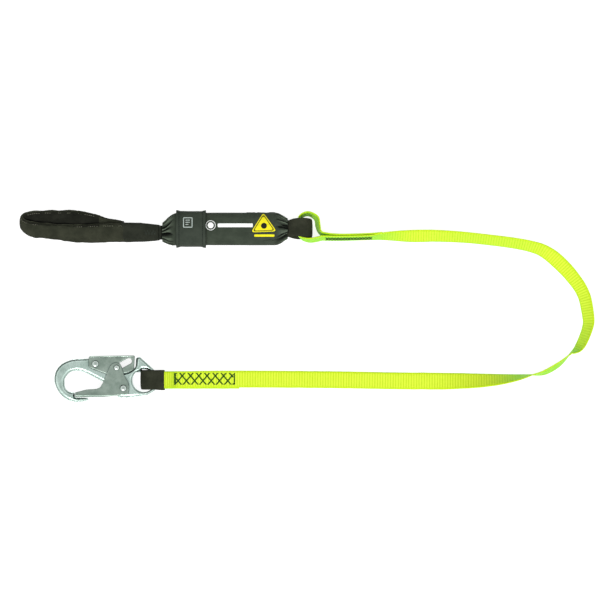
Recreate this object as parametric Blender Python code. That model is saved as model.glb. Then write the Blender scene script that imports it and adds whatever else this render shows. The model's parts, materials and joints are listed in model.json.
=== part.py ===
"""A shock absorbing lanyard: snap hook, webbing leg, energy absorber pack and soft loop.

The lanyard lies on a flat surface at z = 0, hook and soft loop at -X, the bend of the leg at +X.
Lengths in this file are millimetres, and MM turns them into Blender's metres on the way out.
Every textile piece is a strap swept between two edge lines; the snap hook is cut from profiles.
"""

from math import atan2, cos, pi, radians, sin

import bmesh
import bpy
from mathutils import Vector

MM = 0.001

# The layout is drawn about the middle of its outline, and these bring the box centre
# to the origin.
SHIFT_X = -1.948
SHIFT_Y = 0.001

# Webbing and thread
WEB_WIDTH = 25.4
WEB_THICK = 2.2
LAYER_GAP = 0.35
THREAD = 0.8
REST_GAP = 0.3
GROUND_CLEAR = 0.3

# Web's turn through the hook's eye, and the sewn length that follows it
HOOK_WEB_Y = -110.2
TAIL_OFFSET = -1.0
TURN_CENTRE = -237.3
TURN_REACH = 8.3
SEWN_FROM = -197.0
SEWN_PITCH = 6.2
SEWN_REPEATS = 14
ROW_NEAR = 1.2
ROW_FAR = 9.5

# Link at the leg's other end
LINK_LEAN = 75.0
LINK_SEWN_FROM = 29.0
LINK_SEWN_PITCH = 4.6
LINK_SEWN_REPEATS = 15

# Snap hook, in its own plane: the origin is the gate rivet and +X points at the eye
HOOK_AT = (-273.6, -122.7)
HOOK_Z = 11.6
BODY_HALF = 5.0
LEVER_HALF_IN = 5.5
LEVER_HALF_OUT = 7.1
GATE_HALF_IN = 7.5
GATE_HALF_OUT = 9.2
EYE_CENTRE = (30.4, 11.4)
EYE_RADIUS = 17.1
LEVER_PIVOT = (-42.0, 36.5)
STOP_PIN = (-10.1, 30.7)
RIVET_R = 3.0
PIN_R = 2.5
HOLE_GAP = 0.3
HEAD_R = 5.2
HEAD_RISE = 1.9
SLOT_R = 4.4
SLOT_END = (8.4, 40.6)

# Energy absorber pack
PACK_Y = 115.4
PACK_Z = 19.4
COVER_WALL = 1.2
COVER_HALF_HEIGHT = 17.5
CUFF_LEFT = -194.2
CUFF_RIGHT = -150.2
CUFF_WALL = 1.5
CUFF_HALF_WIDTH = 27.0
CUFF_HALF_HEIGHT = 20.2
CUFF_FLARE = 0.6
BOOKLET = (-190.0, -154.0)
BOOKLET_HALF = 9.5
BOOKLET_THICK = 1.0
TEAR_PITCH = 5.6
TEAR_RUNS = 5
TEAR_PLY = 1.6
TEAR_HALF_WIDTH = 18.0
TEAR_OFFSET = 1.1

# Black loop at the pack's end: its turn's middle, radius and half width
ABSORBER_TURN = (-6.1, 15.4)
ABSORBER_REACH = 13.05
ABSORBER_HALF = 12.6
TEAR_LEFT = -184.0
TEAR_RIGHT = -64.0

# Joint places
LOOP_HINGE = (-218.0, 110.0, 17.0)
LINK_PIVOT = (0.0, 116.0, 15.4)
LEG_HINGE = (395.8, -70.9, 12.7)
FOLD_GAP = 0.9

GREY_GREEN = (0.050, 0.062, 0.050)
CHARCOAL = (0.030, 0.033, 0.025)
SLEEVE_OLIVE = (0.034, 0.040, 0.030)
HI_VIS = (0.68, 0.88, 0.06)
ZINC = (0.42, 0.50, 0.46)
ZINC_DARK = (0.28, 0.34, 0.29)
SPRING_STEEL = (0.35, 0.37, 0.36)
DARK_GREEN = (0.02, 0.09, 0.04)
TEAR_WHITE = (0.75, 0.74, 0.70)
PAPER = (0.80, 0.80, 0.76)


# ---------------------------------------------------------------- shared builders

def clear_scene():
    for item in list(bpy.data.objects):
        bpy.data.objects.remove(item, do_unlink=True)


def make_material(name, colour, roughness, metallic=0.0):
    made = bpy.data.materials.new(name)
    made.use_nodes = True
    shader = made.node_tree.nodes["Principled BSDF"]
    shader.inputs["Base Color"].default_value = (*colour, 1.0)
    shader.inputs["Roughness"].default_value = roughness
    shader.inputs["Metallic"].default_value = metallic
    return made


def place(point):
    """A layout point in millimetres as a world point in metres."""
    return Vector((point[0] + SHIFT_X, point[1] + SHIFT_Y, point[2])) * MM


def make_empty(name, point):
    """The joint's own place, which its moving pieces are parented to."""
    empty = bpy.data.objects.new(name, None)
    empty.location = place(point)
    bpy.context.scene.collection.objects.link(empty)
    return empty


def make_object(name, points, faces, material, parent, smooth_angle=35.0):
    """One piece from layout points, with its origin on its parent's joint."""
    home = parent.location.copy()
    mesh = bpy.data.meshes.new(name)
    mesh.from_pydata([place(p) - home for p in points], [], faces)
    work = bmesh.new()
    work.from_mesh(mesh)
    bmesh.ops.recalc_face_normals(work, faces=work.faces)
    work.to_mesh(mesh)
    work.free()
    mesh.materials.append(material)
    mesh.shade_smooth()
    mesh.set_sharp_from_angle(angle=radians(smooth_angle))
    made = bpy.data.objects.new(name, mesh)
    made.parent = parent
    bpy.context.scene.collection.objects.link(made)
    return made


def spline(rows, steps):
    """Catmull-Rom rows between rows of numbers, so that a path needs few given points."""
    out = []
    last = len(rows) - 1
    for i in range(last):
        before, start, end, after = (rows[max(0, min(last, i + k))] for k in (-1, 0, 1, 2))
        for k in range(steps):
            t = k / steps
            out.append(tuple(
                0.5 * (2 * b + (c - a) * t + (2 * a - 5 * b + 4 * c - d) * t**2
                       + (3 * b - a - 3 * c + d) * t**3)
                for a, b, c, d in zip(before, start, end, after)))
    out.append(tuple(rows[-1]))
    return out


def sweep(rings, ring_size):
    """Faces that skin equal rings in order and close both ends."""
    faces = []
    for i in range(len(rings) - 1):
        for k in range(ring_size):
            n = (k + 1) % ring_size
            a, b = i * ring_size, (i + 1) * ring_size
            faces.append((a + k, a + n, b + n, b + k))
    faces.append(tuple(range(ring_size)))
    faces.append(tuple((len(rings) - 1) * ring_size + k for k in reversed(range(ring_size))))
    return [p for ring in rings for p in ring], faces


def hollow_sweep(outer, inner, ring_size):
    """Faces of a tube with an outer and an inner skin, open at both ends."""
    count = len(outer)
    points = [p for ring in outer for p in ring] + [p for ring in inner for p in ring]
    base = count * ring_size
    faces = []
    for i in range(count - 1):
        for k in range(ring_size):
            n = (k + 1) % ring_size
            a, b = i * ring_size, (i + 1) * ring_size
            faces.append((a + k, a + n, b + n, b + k))
            faces.append((base + a + k, base + b + k, base + b + n, base + a + n))
    for a in (0, (count - 1) * ring_size):
        for k in range(ring_size):
            n = (k + 1) % ring_size
            faces.append((a + k, base + a + k, base + a + n, a + n))
    return points, faces


def edge_frames(rails):
    """For each pair of edge points: both edges, the unit width and the unit normal."""
    pairs = [(Vector(a), Vector(b)) for a, b in rails]
    mids = [(a + b) / 2 for a, b in pairs]
    frames = []
    for i, (a, b) in enumerate(pairs):
        along = mids[min(i + 1, len(mids) - 1)] - mids[max(i - 1, 0)]
        across = (b - a).normalized()
        frames.append((a, b, across, along.cross(across).normalized()))
    return frames


def strap(name, rails, thickness, material, parent):
    """A flat strap whose middle surface runs between two edge lines."""
    half = thickness / 2
    rings = [(a - n * half, b - n * half, b + n * half, a + n * half)
             for a, b, _, n in edge_frames(rails)]
    points, faces = sweep(rings, 4)
    return make_object(name, points, faces, material, parent)


def sleeve(name, rails, inside, wall, side_room, material, parent):
    """A flat tube around a strap: inside is its clear height, side_room the room past each edge."""
    outer, inner = [], []
    for a, b, w, n in edge_frames(rails):
        for rings, half, out in ((outer, inside / 2 + wall, side_room + wall),
                                 (inner, inside / 2, side_room)):
            low, high = a - w * out, b + w * out
            rings.append((low - n * half, high - n * half, high + n * half, low + n * half))
    points, faces = hollow_sweep(outer, inner, 4)
    return make_object(name, points, faces, material, parent)


def thread(name, path, size, material, parent, up):
    """A square-section thread that follows a path of points and lies across the up direction."""
    half = size / 2
    rings = []
    for i, point in enumerate(path):
        along = (path[min(i + 1, len(path) - 1)] - path[max(i - 1, 0)]).normalized()
        side = along.cross(up).normalized() * half
        lift = up.normalized() * half
        rings.append((point - side - lift, point + side - lift, point + side + lift,
                      point - side + lift))
    points, faces = sweep(rings, 4)
    return make_object(name, points, faces, material, parent)


def round_rod(name, path, radius, sides, material, parent):
    """A round wire along a path, its rings square to the path."""
    rings = []
    for i, point in enumerate(path):
        along = (path[min(i + 1, len(path) - 1)] - path[max(i - 1, 0)]).normalized()
        side = along.cross(Vector((0.31, 0.17, 0.93))).normalized()
        lift = side.cross(along).normalized()
        rings.append([point + (side * cos(t) + lift * sin(t)) * radius
                      for t in (2 * pi * k / sides for k in range(sides))])
    points, faces = sweep(rings, sides)
    return make_object(name, points, faces, material, parent)


# ---------------------------------------------------------------- webbing leg

# Base edge of the standing or lying web as (x, y, lean): lean 0 lies flat, 90 stands on edge.
# The first rows run from the hook to the fold, the others from the fold to the sewn link.
LOWER_LEG = [
    (-196, -97.0, 0), (-69, -96.8, 0), (60, -98.0, 0), (125, -99.2, 0), (190, -99.8, 5),
    (229.7, -100.4, 22), (272, -101.6, 42), (305, -102.4, 62), (327, -102.9, 80),
    (337, -103.0, 90), (358, -102.5, 106), (380.5, -89.8, 106), (395.8, -70.9, 90),
]
UPPER_LEG = [
    (395.8, -70.9, 90), (403.5, -58.7, 62), (413.5, -32.7, 55), (413.9, -15.8, 50),
    (403.5, 21, 45), (368.3, 60.7, 36), (334.7, 81.4, 50), (260.6, 93.0, 53),
    (200.6, 96.6, 48), (158.6, 96.2, 46), (116.6, 99.3, 64), (95.6, 99.6, 75),
    (52, 98.4, 75), (23.6, 98.6, 75),
]


def leaning_rails(rows):
    """Edge pairs of a web that stands on its base edge and leans away from the bend's inside."""
    rails = []
    for i, (x, y, lean) in enumerate(rows):
        ahead, behind = rows[min(i + 1, len(rows) - 1)], rows[max(i - 1, 0)]
        along = Vector((ahead[0] - behind[0], ahead[1] - behind[1], 0)).normalized()
        outward = Vector((along.y, -along.x, 0))
        tilt = radians(lean)
        rest = abs(cos(tilt)) * WEB_THICK / 2 + GROUND_CLEAR
        base = Vector((x, y, rest))
        rails.append((base, base + (outward * cos(tilt) + Vector((0, 0, 1)) * sin(tilt)) * WEB_WIDTH))
    return rails


# Sewn link: base edge and free edge (x, y, z, x, y, z) from the leg's end, round the black loop
# and back along the outside of the leg to the end of the tail.
LINK_LOOP = [
    (23.6, 98.6, 0.4, 23.6, 105.2, 24.9),
    (8.0, 95.6, 1.2, 7.6, 101.8, 25.4),
    (-3.0, 97.8, 4.8, -5.0, 102.6, 25.2),
    (-8.6, 102.4, 5.4, -13.0, 106.2, 25.0),
    (-8.2, 110.0, 5.4, -13.8, 110.5, 25.2),
    (-8.2, 123.5, 5.4, -13.8, 124.0, 25.2),
    (-5.8, 132.4, 5.2, -9.4, 136.4, 24.6),
    (3.6, 135.2, 2.2, 3.2, 141.4, 24.4),
    (12.4, 129.0, 1.0, 17.4, 134.6, 24.2),
    (14.2, 119.3, 0.8, 20.6, 121.8, 24.6),
    (18.4, 109.6, 0.6, 22.0, 113.0, 25.0),
    (28.0, 103.2, 0.5, 29.0, 109.8, 25.0),
    (52.0, 101.1, 0.4, 52.0, 107.7, 24.9),
    (95.6, 102.3, 0.4, 95.6, 108.9, 24.9),
    (113.5, 102.6, 0.8, 113.5, 110.6, 24.9),
]


def hook_loop_rows():
    """Middle line (x, z, half width) of the web's turn through the hook's eye, tail end first."""
    low, high = HOOK_Z - TURN_REACH, HOOK_Z + TURN_REACH
    tail = [(-100.5, 1.1, 12.7), (-160, 1.1, 12.7), (-196, 1.2, 12.7), (-206, 2.2, 12.7),
            (-211.0, low, 12.7), (-213.5, low, 12.7)]
    bight = [(TURN_CENTRE - TURN_REACH * sin(t), HOOK_Z - TURN_REACH * cos(t), 12.4)
             for t in (pi * k / 10 for k in range(11))]
    lead = [(-213.5, high, 12.7), (-211.0, high, 12.7), (-203, 14.0, 12.7), (-195, 6.6, 12.7),
            (-186, 3.9, 12.7)]
    return tail, bight, lead


def loop_rails(rows, centre_y):
    """Edge pairs of a strap whose width lies along Y, from rows of (x, z, half width)."""
    return [(Vector((x, centre_y + half, z)), Vector((x, centre_y - half, z)))
            for x, z, half in rows]


def lower_run():
    """The leg from the sewn length to the fold: the upper layer comes down past the tail's end."""
    run = []
    for a, b in leaning_rails(spline(LOWER_LEG, 4)):
        past = max(0.0, min(1.0, (a.x + 98.0) / 22.0))
        rise = (WEB_THICK + LAYER_GAP) * (1.0 - past * past * (3.0 - 2.0 * past))
        blend = max(0.0, min(1.0, (a.x + 196.0) / 40.0))
        shift = Vector((0, (HOOK_WEB_Y + WEB_WIDTH / 2 - a.y) * (1.0 - blend), rise))
        run.append((a + shift, b + shift))
    return stop_short(run, -1, -2)


def stop_short(rails, end, neighbour):
    """Pull one end of a strap back, so that the halves of the leg don't touch at the fold."""
    a, b = rails[end]
    back = (rails[neighbour][0] - a).normalized() * FOLD_GAP
    rails[end] = (a + back, b + back)
    return rails


def make_hook_stitching(parent, material):
    """Two rows of zigzag that cross over the sewn length."""
    z = GROUND_CLEAR + WEB_THICK * 2 + LAYER_GAP + REST_GAP + THREAD / 2
    there = [Vector((SEWN_FROM + SEWN_PITCH * k, HOOK_WEB_Y + (ROW_FAR if k % 2 else ROW_NEAR), z))
             for k in range(2, SEWN_REPEATS + 1)]
    back = [Vector((SEWN_FROM + SEWN_PITCH * k, HOOK_WEB_Y - (ROW_FAR if k % 2 else ROW_NEAR), z))
            for k in range(SEWN_REPEATS, 1, -1)]
    turn = [Vector((SEWN_FROM + SEWN_PITCH * (SEWN_REPEATS + 1), HOOK_WEB_Y, z))]
    thread("hook_end_stitching", there + turn + back, THREAD, material, parent, Vector((0, 0, 1)))


def make_lower_leg(parent, web, thread_material, fabric):
    tail, bight, lead = hook_loop_rows()
    tail_rails = loop_rails(spline(tail, 3), HOOK_WEB_Y + TAIL_OFFSET)
    turn_rails = loop_rails(bight, HOOK_WEB_Y)
    lead_rails = loop_rails(spline(lead, 3), HOOK_WEB_Y)
    whole = tail_rails[:-1] + turn_rails + lead_rails[1:] + lower_run()[2:]
    strap("leg_webbing_lower", whole, WEB_THICK, web, parent)

    # the wear sleeve covers the turn and a little of both strands
    cover = []
    for a, b in tail_rails + turn_rails + lead_rails:
        half = (a.y - b.y) / 2
        if a.x < -213.0:
            cover.append((Vector((a.x, HOOK_WEB_Y + half, a.z)),
                          Vector((b.x, HOOK_WEB_Y - half, b.z))))
    sleeve("hook_end_sleeve", cover, WEB_THICK + 0.7, 0.9, 1.2, fabric, parent)
    make_hook_stitching(parent, thread_material)


def make_upper_leg(parent, web, thread_material):
    leg_rails = stop_short(leaning_rails(spline(UPPER_LEG, 4)), 0, 1)
    link_rails = six_to_rails(spline(LINK_LOOP, 5))
    strap("leg_webbing_upper", leg_rails[:-1] + link_rails, WEB_THICK, web, parent)

    outward = Vector((0, -sin(radians(LINK_LEAN)), cos(radians(LINK_LEAN))))
    lift = outward * (WEB_THICK / 2 + REST_GAP + THREAD / 2 + 0.1)
    face = []
    for k in range(LINK_SEWN_REPEATS):
        x = LINK_SEWN_FROM + k * LINK_SEWN_PITCH
        face.append(on_rails(leg_rails[-24:], x, 0.2 if k % 2 else 0.75) + lift)
    thread("link_end_stitching", face, THREAD, thread_material, parent, outward)


# ---------------------------------------------------------------- energy absorber pack

# Cover sections: x, middle y, middle z, half width, half height, corner radius
COVER_SECTIONS = [
    (-215.5, 110.0, 17.0, 12.8, 9.6, 9.0), (-209.0, 111.6, 17.6, 18.0, 13.0, 11.0),
    (-202.0, 113.8, 18.8, 23.0, 16.6, 12.0), (-196.0, 115.4, PACK_Z, 24.2, 17.2, 13.5),
    (-146.0, 115.4, PACK_Z, 24.2, 17.2, 13.5),
    (-143.0, 115.4, PACK_Z, 24.4, COVER_HALF_HEIGHT, 13.5),
    (-46.0, 115.4, PACK_Z, 24.4, COVER_HALF_HEIGHT, 13.5), (-39.0, 115.4, 18.6, 22.6, 16.4, 13.0),
    (-33.0, 115.6, 17.0, 17.4, 14.0, 11.0), (-27.5, 116.0, 15.4, 14.4, 12.0, 7.2),
]
CORNER_STEPS = 4


def rounded_section(x, y, z, half_w, half_h, radius):
    """A ring in a plane of constant x, with flat sides between round corners."""
    ring = []
    for quarter, (sy, sz) in enumerate(((1, 1), (-1, 1), (-1, -1), (1, -1))):
        for k in range(CORNER_STEPS + 1):
            t = (quarter + k / CORNER_STEPS) * pi / 2
            ring.append((x, y + sy * (half_w - radius) + radius * cos(t),
                         z + sz * (half_h - radius) + radius * sin(t)))
    return ring


def tear_path(offset):
    """Accordion of a ply, offset to one side of the folded pair's shared middle line."""
    path = []
    low = PACK_Z - TEAR_PITCH * (TEAR_RUNS - 1) / 2
    for run in range(TEAR_RUNS):
        sign = -1 if run % 2 else 1
        start, end = (TEAR_LEFT, TEAR_RIGHT)[::sign]
        z = low + run * TEAR_PITCH
        path.append((start, z + sign * offset))
        if run == TEAR_RUNS - 1:
            path.append((end, z + sign * offset))
            break
        radius = TEAR_PITCH / 2 - sign * offset
        for k in range(7):
            t = -pi / 2 + pi * k / 6
            path.append((end + sign * radius * cos(t), z + TEAR_PITCH / 2 + radius * sin(t)))
    return path


def make_cuff(parent, fabric, paper):
    """The label sleeve round the pack, a little wider at both hems, and its folded booklet."""
    rows = [(CUFF_LEFT, CUFF_FLARE), (CUFF_LEFT + 6, 0.0), (CUFF_RIGHT - 6, 0.0),
            (CUFF_RIGHT, CUFF_FLARE)]
    outer, inner = [], []
    for x, flare in rows:
        width = CUFF_HALF_WIDTH + flare
        outer.append(rounded_section(x, PACK_Y, CUFF_HALF_HEIGHT, width, CUFF_HALF_HEIGHT, 13.5))
        inner.append(rounded_section(x, PACK_Y, CUFF_HALF_HEIGHT, width - CUFF_WALL,
                                     CUFF_HALF_HEIGHT - CUFF_WALL, 13.5 - CUFF_WALL))
    points, faces = hollow_sweep(outer, inner, 4 * (CORNER_STEPS + 1))
    make_object("label_cuff", points, faces, fabric, parent)

    z = PACK_Z + COVER_HALF_HEIGHT + REST_GAP + 0.6
    rails = [(Vector((x, PACK_Y - BOOKLET_HALF, z)), Vector((x, PACK_Y + BOOKLET_HALF, z)))
             for x in BOOKLET]
    strap("label_booklet", rails, BOOKLET_THICK, paper, parent)


def make_pack(root, fabric, black, sleeve_fabric, tear):
    outer = [rounded_section(*row) for row in COVER_SECTIONS]
    inner = [rounded_section(x, y, z, w - COVER_WALL, h - COVER_WALL, r - COVER_WALL)
             for x, y, z, w, h, r in COVER_SECTIONS]
    points, faces = hollow_sweep(outer, inner, 4 * (CORNER_STEPS + 1))
    make_object("pack_cover", points, faces, fabric, root)

    for name, offset in (("tear_ply_a", TEAR_OFFSET), ("tear_ply_b", -TEAR_OFFSET)):
        rows = [(x, z, TEAR_HALF_WIDTH) for x, z in tear_path(offset)]
        strap(name, loop_rails(rows, PACK_Y), TEAR_PLY, tear, root)

    backup = [(-206, 12.0, 10.0), (-200, 7.6, 12.0), (-192, 4.9, 12.7), (-120, 4.9, 12.7),
              (-60, 4.9, 12.7), (-52, 6.4, 11.5)]
    strap("backup_webbing", loop_rails(spline(backup, 3), PACK_Y), TEAR_PLY, black, root)

    loop = absorber_loop_rails()
    strap("absorber_loop_webbing", loop, WEB_THICK, black, root)
    covered = [rail for rail in loop if rail[0].x > -25.0]
    sleeve("absorber_loop_sleeve", covered, WEB_THICK + 0.6, 0.65, 0.6, sleeve_fabric, root)


def absorber_loop_rails():
    """Rails of the black loop that the leg's link hangs on; its upper strand sits nearer +Y."""
    centre, mid = ABSORBER_TURN
    lower = [(-54.0, mid + 1.0, 10.0), (-44.0, mid - 1.6, 10.0), (-34.0, mid - 4.2, 9.8),
             (-27.0, mid - 6.4, 10.2), (-20.0, mid - 11.0, 11.6),
             (-13.0, mid - ABSORBER_REACH, ABSORBER_HALF)]
    turn = [(centre + ABSORBER_REACH * sin(t), mid - ABSORBER_REACH * cos(t), ABSORBER_HALF)
            for t in (pi * k / 12 for k in range(13))]
    upper = [(x, 2 * mid - z, w) for x, z, w in reversed(lower)]
    upper[-1] = (-54.0, mid + 4.0, 10.0)
    rails = []
    for x, z, w in spline(lower, 2)[:-1] + turn + spline(upper, 2)[1:]:
        middle = PACK_Y + 0.6 + 2.0 * (z - mid) / ABSORBER_REACH
        rails.append((Vector((x, middle + w, z)), Vector((x, middle - w, z))))
    return rails


# ---------------------------------------------------------------- soft loop

# Lower edge and upper edge (x, y, z, x, y, z) from the neck, along the near band to the tip
# of the loop and back along the far band to the neck.
NECK_FRONT = [
    (-217.0, 101.2, 18.4, -217.0, 118.8, 18.4), (-240.0, 98.8, 12.2, -240.0, 121.0, 15.4),
    (-258.0, 98.2, 7.8, -258.0, 122.4, 13.6),
]
NECK_BACK = [
    (-258.0, 99.6, 4.6, -258.0, 123.6, 10.2), (-240.0, 99.4, 9.4, -240.0, 121.6, 12.6),
    (-217.0, 101.2, 15.6, -217.0, 118.8, 15.6),
]
BAND_FRONT = [
    (-276.0, 96.8, 9.2, -275.5, 122.0, 15.0), (-294.0, 96.2, 7.6, -294.0, 121.4, 14.4),
    (-312.0, 95.9, 5.4, -314.0, 120.7, 12.8), (-341.0, 96.0, 2.7, -341.0, 119.8, 10.8),
    (-370.0, 99.6, 2.7, -367.0, 119.8, 11.2), (-392.0, 102.2, 2.7, -390.0, 122.4, 12.0),
    (-410.0, 104.0, 2.7, -407.5, 124.0, 13.6), (-421.0, 109.8, 2.7, -419.5, 127.4, 17.0),
    (-425.2, 117.4, 2.7, -424.8, 132.4, 19.0),
]
BAND_BACK = [
    (-420.6, 124.6, 2.7, -420.0, 138.2, 18.6), (-400.0, 125.0, 2.8, -398.6, 141.4, 18.6),
    (-356.0, 126.0, 2.8, -356.0, 141.8, 19.4), (-338.0, 123.4, 2.8, -338.0, 140.4, 17.2),
    (-322.0, 117.4, 2.7, -323.0, 138.0, 11.8), (-306.0, 110.8, 2.6, -307.0, 133.4, 8.0),
    (-290.0, 105.0, 2.6, -291.0, 129.0, 6.8), (-273.0, 101.0, 2.8, -273.0, 125.4, 8.0),
]


def on_rails(rails, x, across):
    """The point of a strap at the given x on its first edge, and that far across its width."""
    for (a, b), (c, d) in zip(rails, rails[1:]):
        if min(a.x, c.x) <= x <= max(a.x, c.x):
            t = (x - a.x) / (c.x - a.x)
            return a.lerp(c, t).lerp(b.lerp(d, t), across)
    raise ValueError("no part of the strap lies at this x")


def six_to_rails(rows):
    return [(Vector(row[:3]), Vector(row[3:])) for row in rows]


def make_soft_loop(parent, black, fabric, thread_material):
    narrower = []
    for a, b in six_to_rails(spline(NECK_FRONT + BAND_FRONT + BAND_BACK + NECK_BACK, 5)):
        trim = (b - a) * 0.06
        narrower.append((a + trim, b - trim))
    strap("soft_loop_webbing", narrower, WEB_THICK, black, parent)
    covered = [rail for rail in narrower if rail[0].x < -270.0]
    sleeve("soft_loop_sleeve", covered, WEB_THICK + 1.1, 0.7, 0.7, fabric, parent)

    neck = []
    for front, back in zip(NECK_FRONT, reversed(NECK_BACK)):
        neck.append(tuple((f + k) / 2 for f, k in zip(front, back)))
    neck_rails = six_to_rails(spline(neck, 4))
    sleeve("soft_loop_neck_cover", neck_rails, 7.4, 0.9, 0.6, fabric, parent)

    up = Vector((-0.27, 0, 1)).normalized()
    lift = up * (1.4 + WEB_THICK / 2 + REST_GAP + 0.3)
    path = [on_rails(neck_rails, -223.0 - k * 2.2, 0.3 if k % 2 else 0.7) + lift
            for k in range(9)]
    thread("soft_loop_stitching", path, 0.5, thread_material, parent, up)


# ---------------------------------------------------------------- snap hook

BODY_OUTER = [
    (-53.7, -14.8), (-51.9, -16.6), (-54.5, -18.6), (-69.8, -20.9), (-84.5, -17.2), (-96.5, -6.6),
    (-103.3, 9.0), (-101.6, 24.5), (-92.5, 36.0), (-78.0, 42.4), (-61.0, 43.9), (-48.0, 44.0),
]
BODY_TOP = [
    (-36.5, 43.4), (-34.8, 38.0), (-34.0, 31.6), (-22.5, 30.4), (-15.0, 23.0), (-4.0, 21.2),
    (7.0, 23.4), (15.5, 28.8), (20.4, 36.0), (21.0, 45.6), (24.2, 47.1),
]
BODY_EYE = [
    (43.4, 29.6), (51.4, 21.0), (53.9, 11.4), (52.0, 3.0), (46.0, -4.2), (35.0, -10.6),
    (18.0, -13.2), (0.0, -14.5), (-8.4, -13.6), (-9.6, -6.0),
]
BODY_INNER = [
    (-29.7, 9.3), (-45.0, 17.0), (-59.9, 24.2), (-72.0, 26.0), (-82.0, 22.4), (-88.4, 13.0),
]
# the bowl's flat seat runs straight down from the last inner point to the first of these
BODY_NOSE = [
    (-88.4, 4.0), (-86.6, -1.2), (-82.6, -5.0), (-77.0, -6.8), (-73.2, -6.4), (-73.0, -14.4),
]

GATE_OUTLINE = [
    (-72.2, -6.4), (-56.0, -2.2), (-41.3, -1.4), (-35.0, 1.2), (-30.6, 8.0), (-19.6, 33.6),
    (-15.6, 37.0), (-10.6, 38.4), (-5.6, 36.6), (-2.7, 31.0), (1.1, 18.5), (6.6, 9.6), (8.6, 2.4),
    (7.4, -8.9), (5.4, -9.8), (-30.0, -13.2), (-70.8, -13.8), (-72.2, -12.6),
]
LEVER_OUTLINE = [
    (-51.8, 46.0), (-51.8, 32.2), (-50.2, 30.7), (-26.3, 21.5), (-10.0, 19.4), (4.8, 23.0),
    (13.4, 26.2), (15.4, 28.2), (16.7, 47.6), (15.4, 49.0), (-50.4, 47.9),
]


def hook_point(x, y, z):
    return (HOOK_AT[0] + x, HOOK_AT[1] + y, HOOK_Z + z)


def prism(name, outline, half, material, parent, middle=0.0):
    """A plate in the hook's plane from its outline."""
    points = [hook_point(x, y, middle + z) for z in (-half, half) for x, y in outline]
    count = len(outline)
    faces = [tuple(range(count)), tuple(range(2 * count - 1, count - 1, -1))]
    for k in range(count):
        n = (k + 1) % count
        faces.append((k, n, count + n, count + k))
    return make_object(name, points, faces, material, parent, 30.0)


def circle(centre, radius, sides=28):
    turns = [2 * pi * k / sides for k in range(sides)]
    return [(centre[0] + radius * cos(t), centre[1] + radius * sin(t)) for t in turns]


def oval(start, end, radius, sides=10):
    """A slot's outline around the line between two points."""
    turn = atan2(end[1] - start[1], end[0] - start[0])
    ring = []
    for (x, y), base in ((end, turn - pi / 2), (start, turn + pi / 2)):
        for k in range(sides + 1):
            t = base + pi * k / sides
            ring.append((x + radius * cos(t), y + radius * sin(t)))
    return ring


def cut(target, outline, half, parent, material):
    """Cut a prism out of a piece. The cutter stays as a hidden guide."""
    cutter = prism(target.name + "_cutter", outline, half, material, parent)
    cutter.hide_render = True
    cutter.display_type = "WIRE"
    modifier = target.modifiers.new("cut", "BOOLEAN")
    modifier.operation = "DIFFERENCE"
    modifier.solver = "EXACT"
    modifier.object = cutter


def soften(target, width, segments):
    bevel = target.modifiers.new("soften", "BEVEL")
    bevel.width = width * MM
    bevel.segments = segments
    bevel.limit_method = "ANGLE"
    bevel.angle_limit = radians(50)


def rivet(name, centre, shaft, half, head, material, parent, sides=16):
    """A pin with a domed head outside each outer plate."""
    profile = [(0.0, half + HEAD_RISE), (head * 0.55, half + HEAD_RISE * 0.9),
               (head * 0.88, half + HEAD_RISE * 0.5), (head, half), (shaft, half)]
    profile += [(r, -z) for r, z in reversed(profile)]
    rings = []
    for r, z in profile[1:-1]:
        rings.append([hook_point(centre[0] + r * cos(t), centre[1] + r * sin(t), z)
                      for t in (2 * pi * k / sides for k in range(sides))])
    points, faces = sweep(rings, sides)
    return make_object(name, points, faces, material, parent, 40.0)


def make_hook(hook, lever, gate, zinc, dark_zinc, rivet_metal, spring_metal):
    outline = spline(BODY_OUTER, 2) + BODY_TOP + BODY_EYE + spline(BODY_INNER, 2)
    body = prism("hook_body", outline + BODY_NOSE, BODY_HALF, zinc, hook)
    cut(body, circle(EYE_CENTRE, EYE_RADIUS, 36), BODY_HALF * 2, hook, zinc)
    cut(body, circle((0, 0), RIVET_R + HOLE_GAP, 16), BODY_HALF * 2, hook, zinc)
    cut(body, circle(LEVER_PIVOT, RIVET_R + HOLE_GAP, 16), BODY_HALF * 2, hook, zinc)
    soften(body, 1.3, 1)

    plate = prism("gate", GATE_OUTLINE, GATE_HALF_OUT, dark_zinc, gate)
    channel = [(-80, -11.9), (-12.5, -11.9), (-12.5, -20), (20, -20), (20, 50), (-80, 50)]
    cut(plate, channel, GATE_HALF_IN, gate, dark_zinc)
    cut(plate, circle((0, 0), RIVET_R + HOLE_GAP, 16), GATE_HALF_OUT * 2, gate, dark_zinc)
    cut(plate, circle(STOP_PIN, PIN_R + HOLE_GAP, 14), GATE_HALF_OUT * 2, gate, dark_zinc)

    plate = prism("lock_lever", LEVER_OUTLINE, LEVER_HALF_OUT, dark_zinc, lever)
    channel = [(-60, 46.2), (-60, 0), (40, 0), (40, 60), (15.0, 60), (15.0, 47.3)]
    cut(plate, channel, LEVER_HALF_IN, lever, dark_zinc)
    cut(plate, circle(LEVER_PIVOT, RIVET_R + HOLE_GAP, 16), LEVER_HALF_OUT * 2, lever, dark_zinc)
    cut(plate, oval(STOP_PIN, SLOT_END, SLOT_R), LEVER_HALF_OUT * 2, lever, dark_zinc)

    rivet("gate_rivet", (0, 0), RIVET_R, GATE_HALF_OUT + REST_GAP, HEAD_R, rivet_metal, hook)
    rivet("lever_rivet", LEVER_PIVOT, RIVET_R, LEVER_HALF_OUT + REST_GAP, HEAD_R, rivet_metal, hook)
    rivet("gate_stop_pin", STOP_PIN, PIN_R, GATE_HALF_OUT + REST_GAP, HEAD_R - 0.6, rivet_metal, gate)

    make_springs(hook, spring_metal)


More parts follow.
